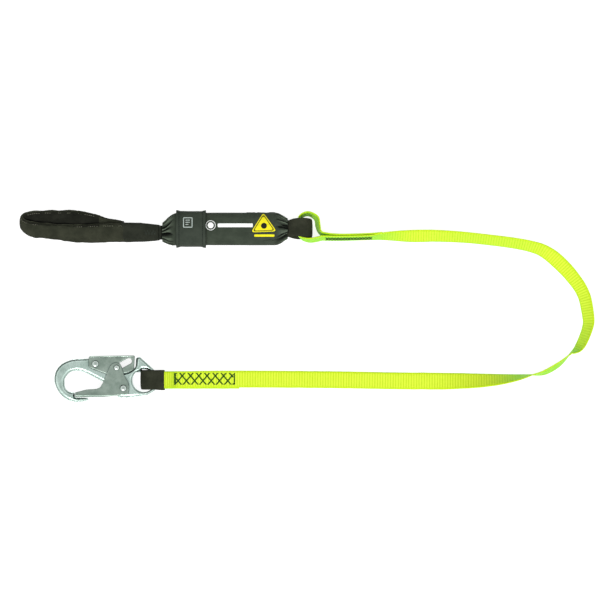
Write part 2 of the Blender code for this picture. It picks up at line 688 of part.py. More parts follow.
def make_springs(hook, spring_metal):
    """A torsion spring round the gate rivet and a coil under the lever's top edge."""
    steps, turns, radius = 20, 1.25, 5.2
    coil = []
    for k in range(int(steps * turns) + 1):
        t = 2 * pi * k / steps - pi / 2
        coil.append(Vector(hook_point(radius * cos(t), radius * sin(t), 5.75 + 1.0 * k / steps)))
    gate_leg = [Vector(hook_point(x, -radius, 5.7)) for x in (-12.0, -5.0)]
    body_leg = [Vector(hook_point(radius, y, 7.0)) for y in (3.0, 12.0)]
    round_rod("gate_spring", gate_leg + coil + body_leg, 0.45, 6, spring_metal, hook)

    steps, turns, radius, seat, length = 12, 4.5, 3.1, 32.2, 11.0
    coil = []
    for k in range(int(turns * steps) + 1):
        t = 2 * pi * k / steps
        rise = length * k / (turns * steps)
        coil.append(Vector(hook_point(-28.2 + radius * cos(t), seat + rise, radius * sin(t))))
    round_rod("lever_spring", coil, 0.55, 6, spring_metal, hook)


# ---------------------------------------------------------------- assembly

def main():
    clear_scene()
    fabric = make_material("pack_fabric", GREY_GREEN, 0.85)
    black = make_material("black_webbing", CHARCOAL, 0.9)
    sleeve_fabric = make_material("sleeve_fabric", SLEEVE_OLIVE, 0.92)
    web = make_material("hi_vis_webbing", HI_VIS, 0.65)
    stitch = make_material("stitch_thread", DARK_GREEN, 0.7)
    tear = make_material("tear_webbing", TEAR_WHITE, 0.8)
    paper = make_material("label_paper", PAPER, 0.6)
    zinc = make_material("zinc_plated_forging", ZINC, 0.38, 1.0)
    dark_zinc = make_material("zinc_plated_sheet", ZINC_DARK, 0.42, 1.0)
    rivet_metal = make_material("rivet_steel", ZINC, 0.32, 1.0)
    spring_metal = make_material("spring_steel", SPRING_STEEL, 0.35, 1.0)

    root = make_empty("pack_frame", (0, 0, 0))
    cuff_slide = make_empty("cuff_slide_axis", (CUFF_LEFT, PACK_Y, PACK_Z))
    soft_lift = make_empty("soft_loop_axis", LOOP_HINGE)
    link = make_empty("link_axis", LINK_PIVOT)
    fold = make_empty("leg_fold_axis", LEG_HINGE)
    eye = make_empty("hook_eye_axis", hook_point(*EYE_CENTRE, 0))
    lever = make_empty("lever_axis", hook_point(*LEVER_PIVOT, 0))
    gate = make_empty("gate_axis", hook_point(0, 0, 0))

    make_pack(root, fabric, black, sleeve_fabric, tear)
    make_cuff(cuff_slide, fabric, paper)
    make_soft_loop(soft_lift, black, sleeve_fabric, stitch)
    make_lower_leg(fold, web, stitch, sleeve_fabric)
    make_upper_leg(link, web, stitch)
    make_hook(eye, lever, gate, zinc, dark_zinc, rivet_metal, spring_metal)


main()
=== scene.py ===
"""Looks of the shock absorbing lanyard: woven straps, sewn fabric, forged and pressed metal.

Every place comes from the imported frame: straps follow the middle surface of their CAD nodes,
metal follows the CAD outlines, and joints give the pivots. Units are metres.
"""

import json
from itertools import permutations
from math import cos, hypot, pi, radians, sin

import bmesh
import bpy
import numpy as np
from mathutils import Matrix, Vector, noise
from mathutils.bvhtree import BVHTree
from mathutils.geometry import delaunay_2d_cdt
from mathutils.kdtree import KDTree


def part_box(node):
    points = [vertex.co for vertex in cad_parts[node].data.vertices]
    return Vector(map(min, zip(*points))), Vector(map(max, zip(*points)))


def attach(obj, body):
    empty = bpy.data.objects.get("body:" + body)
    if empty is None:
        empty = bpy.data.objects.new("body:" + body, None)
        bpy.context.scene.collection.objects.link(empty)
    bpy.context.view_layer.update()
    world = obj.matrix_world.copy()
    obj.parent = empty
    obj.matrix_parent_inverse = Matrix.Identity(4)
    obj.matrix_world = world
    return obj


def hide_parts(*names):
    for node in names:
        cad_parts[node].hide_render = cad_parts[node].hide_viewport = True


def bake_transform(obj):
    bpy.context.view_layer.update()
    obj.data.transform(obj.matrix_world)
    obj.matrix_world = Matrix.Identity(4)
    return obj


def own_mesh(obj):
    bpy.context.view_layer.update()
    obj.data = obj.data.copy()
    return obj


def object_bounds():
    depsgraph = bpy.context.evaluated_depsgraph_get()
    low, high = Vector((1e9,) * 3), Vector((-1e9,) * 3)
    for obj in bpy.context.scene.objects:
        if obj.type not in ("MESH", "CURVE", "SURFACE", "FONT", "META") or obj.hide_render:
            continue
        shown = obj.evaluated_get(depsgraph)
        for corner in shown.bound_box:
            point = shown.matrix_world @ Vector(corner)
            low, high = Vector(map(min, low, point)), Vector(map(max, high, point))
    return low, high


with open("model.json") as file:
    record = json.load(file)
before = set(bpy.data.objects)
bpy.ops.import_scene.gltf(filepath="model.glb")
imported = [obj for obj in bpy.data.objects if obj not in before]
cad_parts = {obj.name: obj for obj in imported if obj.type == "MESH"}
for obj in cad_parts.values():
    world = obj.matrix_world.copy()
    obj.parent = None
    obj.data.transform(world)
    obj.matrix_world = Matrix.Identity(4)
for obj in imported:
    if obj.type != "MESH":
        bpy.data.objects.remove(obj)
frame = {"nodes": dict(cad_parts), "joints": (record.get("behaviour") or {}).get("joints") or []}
CAD_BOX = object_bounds()
NODES = frame["nodes"]
JOINTS = {joint["name"]: joint for joint in frame["joints"]}

MM = 0.001
INCH = 0.0254

# A CAD corner line that skips a straight station takes a step this much longer than the rest
SKIPPED = 1.8

# Hi-vis webbing
WEB_THICK = 2.2 * MM
RIB_PITCH = 3.9 * MM
RIB_HEIGHT = 0.20 * MM
RIB_STEPS = 6
WEB_COLUMNS = 11

# Black and tear webbing
BLACK_PITCH = 2.4 * MM
TEAR_THICK = 1.6 * MM

# Sleeves: points round them, step along them and the least height of any cloth over the floor
SLEEVE_RING = 30
TUBE_STEP = 1.6 * MM
FLOOR_CLEAR = 0.2 * MM
HOOK_SLEEVE_ROOM = 3.0 * MM
LINK_SLEEVE_ROOM = 2.8 * MM
LOOP_SLEEVE_ROOM = 3.3 * MM

# Soft loop: the x where its painted inside shade, its far side's slack and its neck end, and the
# neck's sizes
LOOP_SHADE_END = -0.312
SLACK_END = -0.322
FAR_SLACK = 5.0 * MM
NEAR_SLACK = 1.2 * MM
SEAM_REACH = 2.4 * MM
NECK_REACH = -0.279
NECK_CLEAR = 1.0 * MM
KNUCKLE = 3.5 * MM
KNUCKLE_INSET = 4.0 * MM

# Pack cover and cuff
COVER_RING = 208
COVER_STEPS = 160
CUFF_STEPS = 110
SHOULDER = 6 * MM
GATHER_FOLDS = 13
GATHER_LONG = 22 * MM
FOLD_SHARE = 0.62
PUFF = 0.9 * MM
COVER_WALL = 1.1 * MM
CUFF_WALL = 1.4 * MM
CUFF_REACH = -0.105
HEM_WIDTH = 4.4 * MM

# The cover's simulation, and how far it may swell under the cuff and elsewhere
SIM_FRAMES = 18
CLOSE_CAP = 0.15 * MM
LOOSE_CAP = 1.3 * MM

# Stitching
STITCH_RADIUS = 0.55 * MM
THREAD_STEPS = 7
ZIGZAG = 9.2 * MM
LATTICE = 12.4 * MM
LATTICE_LEAN = 15.0 * MM
LATTICE_PHASES = ((1, 7.6 * MM), (-1, 15.1 * MM))
STITCH_LONG = 3.3 * MM
STITCH_DOUBLE = 1.3 * MM
ROW_REACH = 8.8 * MM
SEWN_EXTRA = 13 * MM
LINK_REACH = 7.2 * MM
LINK_LEAN = radians(75.0)

# Rays down onto a piece start at this height
ABOVE = 0.2

# Prints: the mesh step, how proud of the cloth they lie, and a second layer's lift over that
PRINT_STEP = 1.0 * MM
CORNER_STEPS = 6
CIRCLE_STEPS = 28
PRINT_LIFT = 0.12 * MM
OVERPRINT = 2.6

# Metal
FORGED = {"voxel": 0.7 * MM, "rounds": 10, "reach": 5.0 * MM, "drop": 2.4 * MM}
PRESSED = {"voxel": 0.4 * MM, "rounds": 3, "reach": 1.3 * MM, "drop": 0.6 * MM}
RIVET_DOME = ((0.04, 1.0), (0.30, 0.992), (0.56, 0.965), (0.78, 0.925), (0.92, 0.885),
              (0.985, 0.85), (1.0, 0.832), (0.56, 0.828))
RIVET_SIDES = 48
TORSION_RADIUS = 5.2 * MM
TORSION_WIRE = 0.45 * MM
PRESS_WIRE = 0.55 * MM
PRESS_TURNS = 5.5

# Light
SKY = ((0.0, 0.08), (0.35, 0.2), (0.70, 1.5), (0.9, 1.2), (1.0, 0.65))
SKY_SIDE = 0.4
KEY_STRENGTH = 1.0
KEY_PLACE = (-0.3, -1.5, 2.3)
FLOOR_GLOW = 0.8
FLOOR_REACH = 6.0

# Camera
CAMERA_HEIGHT = 6.0
VIEW_WIDTH = 0.912
VIEW_SHIFT = (-5.4 * MM, 3.2 * MM)


# ---- node materials

class Nodes:
    """A short way to write the nodes of a material or a world."""

    def __init__(self, owner):
        owner.use_nodes = True
        self.owner = owner
        self.tree = owner.node_tree
        self.shader = self.tree.nodes.get("Principled BSDF")

    def put(self, node, values):
        """Set inputs, by name or number, to a number, a colour or another node's output."""
        for key, value in values.items():
            socket = node.inputs[key]
            if isinstance(value, bpy.types.NodeSocket):
                self.tree.links.new(value, socket)
            elif socket.type == "RGBA":
                socket.default_value = (*value, 1.0)
            else:
                socket.default_value = value

    def add(self, kind, values=None, **settings):
        """A new node's outputs."""
        node = self.tree.nodes.new("ShaderNode" + kind)
        for key, value in settings.items():
            setattr(node, key, value)
        self.put(node, values or {})
        return node.outputs

    def math(self, operation, a, b=0.0):
        return self.add("Math", {0: a, 1: b}, operation=operation)[0]

    def plus(self, a, b):
        return self.math("ADD", a, b)

    def times(self, a, b):
        return self.math("MULTIPLY", a, b)

    def mix(self, factor, a, b):
        return self.add("Mix", {0: factor, 6: a, 7: b}, data_type="RGBA")[2]

    def span(self, value, low, high):
        """0 where the value is low, 1 where it is high, eased between."""
        return self.add("MapRange", {0: value, 1: low, 2: high}, interpolation_type="SMOOTHSTEP")[0]

    def noise(self, vector, scale, detail=4.0, rough=0.55):
        return self.add("TexNoise", {"Vector": vector, "Scale": scale, "Detail": detail,
                                     "Roughness": rough})["Fac"]

    def occlusion_shade(self, distance):
        """Ambient occlusion, which drives painted shade: 1 in the open, falling towards 0 in corners
        and under other pieces.
        """
        return self.add("AmbientOcclusion", {"Distance": distance}, samples=8)["AO"]

    def bow(self):
        """Above a half on raised edges, below it in hollows."""
        return self.add("NewGeometry")["Pointiness"]

    def place(self):
        """The point in the piece's own space, which is the frame's space at rest."""
        return self.add("TexCoord")["Object"]

    def apart(self, vector):
        return self.add("SeparateXYZ", {0: vector})

    def stretch(self, vector, scale):
        return self.add("Mapping", {"Vector": vector, "Scale": scale})[0]

    def bump(self, height, strength, distance, **under):
        return self.add("Bump", {"Strength": strength, "Distance": distance, "Height": height,
                                 **under})[0]

    def finish(self, colour, roughness, metallic=0.0, sheen=0.0, specular=0.5, **more):
        self.put(self.shader, {"Base Color": colour, "Roughness": roughness, "Metallic": metallic,
                               "Sheen Weight": sheen, "Specular IOR Level": specular, **more})
        return self.owner


def material_nodes(name):
    return Nodes(bpy.data.materials.new(name))


def ripple(n, value, pitch):
    raised = n.math("SINE", n.times(value, 2 * pi / pitch))
    return n.plus(n.times(raised, 0.5), 0.5)


def webbing_material(name, light, deep, rib_pitch, roughness=0.6, sheen=0.05):
    """Ribbed webbing: a painted highlight on the rib crowns, painted shade between them and on faces
    seen edge-on, and deeper colour along both selvedges.
    """
    n = material_nodes(name)
    uv = n.add("TexCoord")["UV"]
    along, across, _ = n.apart(uv)
    rib = ripple(n, along, rib_pitch)
    fine = ripple(n, along, rib_pitch / 3.0)
    yarn = ripple(n, across, 0.9 * MM)
    middle = n.math("ABSOLUTE", n.math("SUBTRACT", across, INCH / 2))
    edge = n.span(middle, INCH / 2 - 4.5 * MM, INCH / 2 - 1.2 * MM)
    cloud = n.noise(n.place(), 90.0, 3.0)
    streak = n.noise(n.stretch(uv, (1.0, 0.12, 1.0)), 420.0, 2.0)
    # the rib crowns get a painted highlight and the valleys between them painted shade, mixed with a
    # streaked tone
    shade = n.plus(n.times(rib, 0.55), n.times(streak, 0.55))
    shade = n.times(n.span(shade, 0.15, 0.85), n.math("SUBTRACT", 1.0, edge))
    shade = n.plus(n.times(shade, 0.85), n.times(cloud, 0.15))
    colour = n.mix(shade, deep, light)
    weave = n.times(fine, yarn)
    # more painted shade in the valleys between ribs
    colour = n.mix(n.times(n.span(rib, 0.25, 0.0), 0.35), colour, shaded(deep, 0.72))
    # painted shade: faces seen edge-on take a deeper colour
    edge_on_shade = n.add("LayerWeight")["Facing"]
    colour = n.mix(n.span(edge_on_shade, 0.15, 0.8), colour, (deep[0] * 0.55, deep[1] * 0.95, deep[2]))
    height = n.plus(n.times(weave, 0.6), n.times(rib, 0.4))
    return n.finish(colour, roughness, sheen=sheen, specular=0.2,
                    Normal=n.bump(height, 0.5, 0.25 * MM))


def shaded(colour, share):
    return tuple(c * share for c in colour)


def cloth_material(name, base, light, weave_pitch, roughness=0.85, blotch=60.0):
    """Plain woven cloth: a crossed weave, soft blotches, painted shade in folds, hollows and corners,
    and a painted highlight on crowns.
    """
    n = material_nodes(name)
    spot = n.place()
    x, y, z = n.apart(spot)
    warp = ripple(n, x, weave_pitch)
    weft = ripple(n, n.plus(y, z), weave_pitch)
    weave = n.times(warp, weft)
    patch = n.span(n.noise(spot, blotch, 5.0, 0.62), 0.3, 0.72)
    fibre = n.noise(spot, 1400.0, 2.0)
    mix = n.plus(n.times(patch, 0.6), n.times(fibre, 0.4))
    colour = n.mix(mix, base, light)
    colour = n.mix(n.times(weave, 0.25), colour, light)
    height = n.plus(weave, n.times(fibre, 0.8))
    bow = n.bow()
    # painted shade in hollows and a painted highlight on raised crowns, from how pointed the surface
    # is
    colour = n.mix(n.span(bow, 0.50, 0.44), colour, shaded(base, 0.35))
    colour = n.mix(n.times(n.span(bow, 0.52, 0.58), 0.35), colour, light)
    # painted shade deep in folds and a painted highlight on the crowns between them, from the crease
    # attribute
    shade_amount = n.add("Attribute", attribute_name="crease")["Fac"]
    colour = n.mix(n.span(shade_amount, 0.05, 0.9), colour, shaded(base, 0.12))
    colour = n.mix(n.span(shade_amount, -0.05, -0.5), colour, shaded(light, 1.9))
    # painted shade in corners and under other pieces
    colour = n.mix(n.span(n.occlusion_shade(5 * MM), 0.85, 0.3), colour, shaded(base, 0.2))
    return n.finish(colour, roughness, sheen=0.02, specular=0.08,
                    Normal=n.bump(height, 0.5, 0.25 * MM))


def plated_material(name, base, light, roughness):
    """Zinc plate: mottled passivate, fine scratches along the part, edges lightened by wear and a
    painted highlight, and painted shade in hollows.
    """
    n = material_nodes(name)
    spot = n.place()
    mottle = n.noise(spot, 55.0, 5.0, 0.6)
    speck = n.noise(spot, 900.0, 3.0, 0.7)
    scratch = n.noise(n.stretch(spot, (1.0, 0.08, 1.0)), 1500.0, 3.0, 0.6)
    worn = n.span(n.bow(), 0.5, 0.6)
    colour = n.mix(n.span(mottle, 0.3, 0.7), base, light)
    colour = n.mix(n.times(n.span(speck, 0.58, 0.72), 0.35), colour,
                   shaded(base, 0.55))
    # raised edges lighten towards a pale grey: partly edge wear, partly a painted highlight
    colour = n.mix(n.times(worn, 0.45), colour, (0.72, 0.76, 0.72))
    rough = n.plus(roughness, n.times(n.math("SUBTRACT", scratch, 0.5), 0.25))
    height = n.plus(n.times(scratch, 0.5), n.times(speck, 0.5))
    dents = n.bump(n.noise(spot, 130.0, 3.0, 0.5), 0.2, 1.0 * MM)
    # painted shade in hollows and under other pieces
    colour = n.mix(n.span(n.occlusion_shade(4 * MM), 0.95, 0.35), colour, (0.02, 0.05, 0.05))
    return n.finish(colour, rough, 1.0, Normal=n.bump(height, 0.2, 0.1 * MM, Normal=dents))


def print_material(name, colour, worn_to, worn):
    """A printed mark, thin where the cloth rubs it."""
    n = material_nodes(name)
    spot = n.place()
    rub = n.span(n.noise(spot, 700.0, 4.0, 0.7), 0.60 - worn, 0.72)
    return n.finish(n.mix(rub, colour, worn_to), 0.7, specular=0.15,
                    Normal=n.bump(n.noise(spot, 1600.0, 2.0), 0.2, 0.1 * MM))


def thread_material(name, colour, light):
    n = material_nodes(name)
    spot = n.place()
    twist = n.noise(n.stretch(spot, (1.0, 1.0, 0.3)), 2600.0, 2.0)
    return n.finish(n.mix(twist, colour, light), 0.7, specular=0.1,
                    Normal=n.bump(twist, 0.4, 0.1 * MM))


MATERIALS = {
    "hi_vis": webbing_material("hi_vis_web", (0.66, 0.82, 0.045), (0.49, 0.70, 0.003), RIB_PITCH),
    "black_web": webbing_material("black_web", (0.034, 0.038, 0.028), (0.012, 0.014, 0.010),
                                  BLACK_PITCH, 0.85, 0.02),
    "tear_web": webbing_material("tear_web", (0.70, 0.69, 0.64), (0.52, 0.50, 0.44), 2.0 * MM,
                                 0.75),
    "cover": cloth_material("cover_cloth", (0.027, 0.036, 0.025), (0.052, 0.065, 0.047), 0.9 * MM),
    "cuff": cloth_material("cuff_cloth", (0.026, 0.034, 0.026), (0.048, 0.059, 0.045), 0.9 * MM,
                           0.9),
    "sleeve": cloth_material("sleeve_cloth", (0.0125, 0.0145, 0.009), (0.040, 0.043, 0.028),
                             1.2 * MM, 0.92, 55.0),
    # a near-black cloth that stands in for the shade inside the soft loop
    "loop_shade": cloth_material("loop_shade_cloth", (0.0045, 0.0050, 0.0035), (0.017, 0.018, 0.013),
                             1.2 * MM, 0.95, 70.0),
    "neck": cloth_material("neck_cloth", (0.011, 0.0135, 0.0095), (0.028, 0.031, 0.022),
                           1.2 * MM, 0.92, 55.0),
    "forged": plated_material("forged_zinc", (0.33, 0.44, 0.39), (0.50, 0.62, 0.57), 0.28),
    "pressed": plated_material("pressed_zinc", (0.17, 0.225, 0.19), (0.28, 0.345, 0.30), 0.36),
    "rivet": plated_material("rivet_zinc", (0.34, 0.40, 0.37), (0.48, 0.55, 0.51), 0.22),
    "spring": plated_material("spring_wire", (0.22, 0.26, 0.26), (0.30, 0.34, 0.34), 0.25),
    "stitch": thread_material("stitch_thread", (0.015, 0.055, 0.006), (0.05, 0.14, 0.02)),
    "pale_thread": thread_material("pale_thread", (0.13, 0.13, 0.10), (0.30, 0.30, 0.23)),
    "hem_thread": thread_material("hem_thread", (0.020, 0.025, 0.020), (0.05, 0.06, 0.05)),
    "white_print": print_material("white_print", (0.86, 0.88, 0.86), (0.30, 0.33, 0.30), 0.02),
    "grey_print": print_material("grey_print", (0.42, 0.48, 0.45), (0.12, 0.14, 0.12), 0.08),
    "yellow_print": print_material("yellow_print", (0.78, 0.70, 0.012), (0.42, 0.40, 0.03), 0.03),
    "dark_print": print_material("dark_print", (0.012, 0.014, 0.010), (0.03, 0.03, 0.02), 0.03),
    "paper": print_material("label_paper", (0.78, 0.79, 0.75), (0.60, 0.60, 0.56), 0.02),
}


# ---- mesh helpers

def placed(name, data):
    made = bpy.data.objects.new(name, data)
    bpy.context.scene.collection.objects.link(made)
    return made


def build(name, points, faces, material, uvs=None, smooth_angle=None):
    """A mesh piece from points and faces, with optional per-point UVs."""
    mesh = bpy.data.meshes.new(name)
    mesh.from_pydata([tuple(p) for p in points], [], faces)
    mesh.validate()
    if uvs is not None:
        layer = mesh.uv_layers.new(name="strap")
        for loop in mesh.loops:
            layer.data[loop.index].uv = uvs[loop.vertex_index]
    work = bmesh.new()
    work.from_mesh(mesh)
    bmesh.ops.recalc_face_normals(work, faces=work.faces)
    work.to_mesh(mesh)
    work.free()
    mesh.shade_smooth()
    if smooth_angle is not None:
        mesh.set_sharp_from_angle(angle=radians(smooth_angle))
    mesh.materials.append(MATERIALS[material])
    return placed(name, mesh)


def skin(rows, size, closed_ends=True):
    """Faces over equal rings in order."""
    faces = []
    for i in range(rows - 1):
        for k in range(size):
            n = (k + 1) % size
            faces.append((i * size + k, i * size + n, (i + 1) * size + n, (i + 1) * size + k))
    if closed_ends:
        faces.append(tuple(range(size)))
        faces.append(tuple((rows - 1) * size + k for k in reversed(range(size))))
    return faces


def double_skin(rows, size):
    """Faces over an outer and an inner set of rings, joined at both open ends."""
    base = rows * size
    faces = skin(rows, size, False)
    faces += [tuple(base + k for k in reversed(face)) for face in skin(rows, size, False)]
    for a in (0, (rows - 1) * size):
        for k in range(size):
            n = (k + 1) % size
            faces.append((a + k, base + a + k, base + a + n, a + n))
    return faces


def unit(vectors):
    return vectors / np.maximum(np.linalg.norm(vectors, axis=-1, keepdims=True), 1e-12)


def circle(turn, radius=1.0):
    """The point at that share of a turn round a circle."""
    return radius * cos(2 * pi * turn), radius * sin(2 * pi * turn)


def ease(t):
    t = np.clip(t, 0.0, 1.0)
    return t * t * (3 - 2 * t)


# ---- straps from the frame

class Strap:
    """Both edges of a strap's middle surface, station by station."""

    def __init__(self, first, second):
        self.a = np.asarray(first, float)
        self.b = np.asarray(second, float)
        self.mid = (self.a + self.b) / 2
        self.along = lengths(self.mid)
        self.across = unit(self.b - self.a)
        self.width = np.linalg.norm(self.b - self.a, axis=1)
        self.normal = unit(np.cross(np.gradient(self.mid, axis=0), self.across))

    def resampled(self, step):
        """The same strap with a station each step, on a smooth curve through its stations."""
        count = max(4, int(round(self.along[-1] / step)) + 1)
        want = np.linspace(0.0, self.along[-1], count)
        return Strap(smooth_through(self.along, self.a, want),
                     smooth_through(self.along, self.b, want))

    def split(self, longest):
        """The same strap with straight steps cut up, so that they stay straight when resampled."""
        want = [0.0]
        for low, high in zip(self.along, self.along[1:]):
            pieces = max(1, int(np.ceil((high - low) / longest)))
            want += [low + (high - low) * (k + 1) / pieces for k in range(pieces)]
        return Strap(*(columns_at(want, self.along, edge) for edge in (self.a, self.b)))

    def part(self, keep):
        return Strap(self.a[keep], self.b[keep])


def lengths(path):
    """How far along a path each of its points lies."""
    return np.concatenate([[0.0], np.cumsum(np.linalg.norm(np.diff(path, axis=0), axis=1))])


def columns_at(want, at, values):
    """Each column of the values, interpolated at the wanted places."""
    return np.stack([np.interp(want, at, column) for column in values.T], axis=-1)


def smooth_through(at, values, want):
    """Cubic Hermite curve through values given at rising places."""
    slopes = np.gradient(values, at, axis=0)
    i = np.clip(np.searchsorted(at, want, side="right") - 1, 0, len(at) - 2)
    span = (at[i + 1] - at[i])[:, None]
    t = ((want - at[i])[:, None]) / span
    return (values[i] * (1 + 2 * t) * (1 - t) ** 2 + slopes[i] * span * t * (1 - t) ** 2
            + values[i + 1] * t * t * (3 - 2 * t) + slopes[i + 1] * span * t * t * (t - 1))


def corner_lines(work, near, far):
    """The four corner lines of a CAD strap, from its end with edges near the two points."""
    heads = []
    for place in (near, far):
        heads += sorted(work.verts, key=lambda v: (v.co - Vector(place)).length)[:2]
    points = [v.co.copy() for v in heads]
    seen = {v.index for v in heads}
    skips = len(work.verts) % 4 != 0
    stations = [list(points)]
    while True:
        ahead = {e.other_vert(v) for v in heads for e in v.link_edges}
        ahead = sorted((v for v in ahead if v.index not in seen), key=lambda v: v.index)
        if len(ahead) < 4:
            return stations
        middle = sum(points, Vector()) / 4
        way = (sum((v.co for v in ahead), Vector()) / len(ahead) - middle).normalized()

        def drift(order):
            steps = [v.co - p for v, p in zip(order, points)]
            return sum((step - way * step.dot(way)).length_squared for step in steps)

        order = min(permutations(ahead, 4), key=drift)
        short = min((v.co - p).length for v, p in zip(order, points))
        for k, vert in enumerate(order):
            step = vert.co - points[k]
            if skips and step.length > SKIPPED * short:
                points[k] = points[k] + step.normalized() * short
            else:
                points[k] = vert.co.copy()
                heads[k] = vert
                seen.add(vert.index)
        stations.append(list(points))


def strap_of(node, near, far):
    """The strap a CAD node models, walked from the end whose edges are near the two points."""
    work = bmesh.new()
    work.from_mesh(NODES[node].data)
    bmesh.ops.remove_doubles(work, verts=work.verts, dist=1e-7)
    work.verts.ensure_lookup_table()
    stations = corner_lines(work, near, far)
    work.free()
    return Strap([tuple((row[0] + row[1]) / 2) for row in stations],
                 [tuple((row[2] + row[3]) / 2) for row in stations])


def section(columns, thickness, width):
    """A strap's rounded section once round: (across 0 to 1, height -1 to 1)."""
    top = []
    for k in range(columns):
        across = (1 - cos(pi * (k + 0.5) / columns)) / 2
        inset = min(across, 1 - across) * width / (thickness / 2)
        height = 1.0 if inset >= 1 else (1 - (1 - inset) ** 2) ** 0.5
        top.append((across, height))
    return [(0.0, 0.0)] + top + [(1.0, 0.0)] + [(v, -h) for v, h in reversed(top)]


def woven(name, strap, thickness, material, pitch=None, height=0.0, wander=0.0, columns=7):
    """A strap with ribs across it, rounded selvedges and slightly wandering edges."""
    shape = section(columns, thickness, INCH)
    points, uvs = [], []
    for i, along in enumerate(strap.along):
        a, b, normal, across = strap.a[i], strap.b[i], strap.normal[i], strap.across[i]
        drift = noise.noise(Vector((along * 70.0, 3.1, 0.0))) * wander
        raised = 0.0
        if pitch:
            raised = height * (abs(sin(pi * along / pitch)) ** 0.8 - 0.5)
        for v, h in shape:
            room = 1.0 - abs(2 * v - 1) ** 6
            lift = h * (thickness / 2 - height / 2 + raised * room)
            points.append(a + (b - a) * v + across * drift + normal * lift)
            uvs.append((along, v * INCH))
    faces = skin(len(strap.along), len(shape))
    return build(name, points, faces, material, uvs)


# ---- threads and rods

def tube(name, path, radius, sides, material):
    """A round thread or wire along a path of points."""
    points = []
    path = [Vector(p) for p in path]
    side = None
    for i, point in enumerate(path):
        along = (path[min(i + 1, len(path) - 1)] - path[max(i - 1, 0)]).normalized()
        if side is None:
            side = along.orthogonal().normalized()
        side = (side - along * side.dot(along)).normalized()
        lift = along.cross(side)
        for k in range(sides):
            c, s = circle(k / sides)
            points.append(point + (side * c + lift * s) * radius)
    return build(name, points, skin(len(path), sides), material)


def join(name, parts):
    """One piece from several, which keep their own closed bodies."""
    with bpy.context.temp_override(active_object=parts[0], selected_editable_objects=parts):
        bpy.ops.object.join()
    parts[0].name = name
    parts[0].data.name = name
    return parts[0]


# ---- fabric

def spot_of(joint):
    return Vector(JOINTS[joint]["pos_m"])


def round_box(turn, half_w, half_h, power):
    """A superellipse's point at that share of a turn, as (across, up)."""
    c, s = circle(turn)
    return (half_w * np.sign(c) * abs(c) ** (2 / power), half_h * np.sign(s) * abs(s) ** (2 / power))


def crease(along, turn, seed, long_scale, round_scale):
    """Sharp folds with soft valleys, 0 to 1, which meet round the tube."""
    c, s = circle(turn, round_scale)
    wide = noise.noise(Vector((along * long_scale, c + seed, s)))
    fine = noise.noise(Vector((along * long_scale * 2.7, 2.2 * c, 2.2 * s + seed)))
    return max(0.0, 1.0 - abs(wide) * 2.6) * 0.7 + (fine + 0.5) * 0.3


def fabric_sleeve(name, strap, inside, wall, room, material, crown, folds, seed):
    """A flat tube of cloth round a strap, open at both ends: inside is its inner height, wall the
    cloth's thickness, room the gap beside the strap, crown a bulge and folds the creases' height.
    """
    outer, inner = [], []
    last = len(strap.along) - 1
    insides = np.broadcast_to(inside, len(strap.along))
    for i, along in enumerate(strap.along):
        middle, across, normal = strap.mid[i], strap.across[i], strap.normal[i]
        half = strap.width[i] / 2 + room
        inside = insides[i]
        hem = 1.0 - ease(min(i, last - i) * (strap.along[1]) / (5 * MM))
        for k in range(SLEEVE_RING):
            turn = k / SLEEVE_RING
            v, h = round_box(turn, half, inside / 2, 4.0)
            fold = crease(along, turn, seed, 46.0, 1.3) * folds * (1.0 - 0.6 * hem)
            bulge = crown * (1.0 - min(1.0, abs(v) / half) ** 2) * (1.0 - hem)
            v_out, h_out = round_box(turn, half + wall + fold * 0.6, inside / 2 + wall, 4.0)
            h_out += (bulge + fold) * np.sign(h) * min(1.0, abs(h) / (inside / 2))
            spread = hem * 0.5 * MM
            point = middle + across * v_out + normal * (h_out + spread * np.sign(h))
            point[2] = max(point[2], FLOOR_CLEAR)
            outer.append(point)
            inner.append(middle + across * v + normal * h)
    faces = double_skin(len(strap.along), SLEEVE_RING)
    return build(name, outer + inner, faces, material)


def flange(name, strap, reach, material, seed):
    """The raw seam allowance beyond a sleeve's far edge, which waves and frays."""
    tips = []
    for i, along in enumerate(strap.along):
        wave = noise.noise(Vector((along * 55.0, seed, 0.0))) + 0.5
        fray = noise.noise(Vector((along * 420.0, seed, 5.0)))
        out = reach * (0.45 + 0.75 * wave + 0.22 * fray)
        lean = noise.noise(Vector((along * 60.0, seed, 9.0))) * reach
        tips.append(strap.b[i] + strap.across[i] * out + strap.normal[i] * lean)
    fin = Strap(strap.b - strap.across * 0.6 * MM, tips)
    fin.normal = strap.normal
    fin.across = strap.across
    return woven(name, fin, 1.1 * MM, material, columns=4)


def dashes(name, path, length, pitch, radius, material):
    """Short stitches laid end to end along a path of points."""
    path = np.asarray(path)
    along = lengths(path)
    parts = []
    for n in range(int(along[-1] / pitch)):
        start = n * pitch + noise.noise(Vector((n * 3.7, 1.0, 0.0))) * pitch * 0.12
        spots = np.maximum(0.0, start + length * np.arange(5) / 4)
        parts.append(tube(name, columns_at(spots, along, path), radius, 5, material))
    return join(name, parts)


def tree_of(piece):
    mesh = piece.data
    return BVHTree.FromPolygons([v.co for v in mesh.vertices],
                                [tuple(face.vertices) for face in mesh.polygons])


def nearest_of(points):
    """A tree that finds the nearest of some points."""
    tree = KDTree(len(points))
    for i, point in enumerate(points):
        tree.insert(point, i)
    tree.balance()
    return tree


def on_top(tree, x, y, lift=0.0):
    """The highest point of a piece over a place, or None."""
    hit = tree.ray_cast(Vector((x, y, ABOVE)), Vector((0, 0, -1)))[0]
    return None if hit is None else Vector((x, y, hit.z + lift))


def hold(piece, body, slot, *nodes):
    """Tie a finished piece to its body and hide the CAD nodes it stands for; slot, its finish, is not
    used.
    """
    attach(piece, body)
    if nodes:
        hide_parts(*nodes)
    return piece


# ---- webbing leg

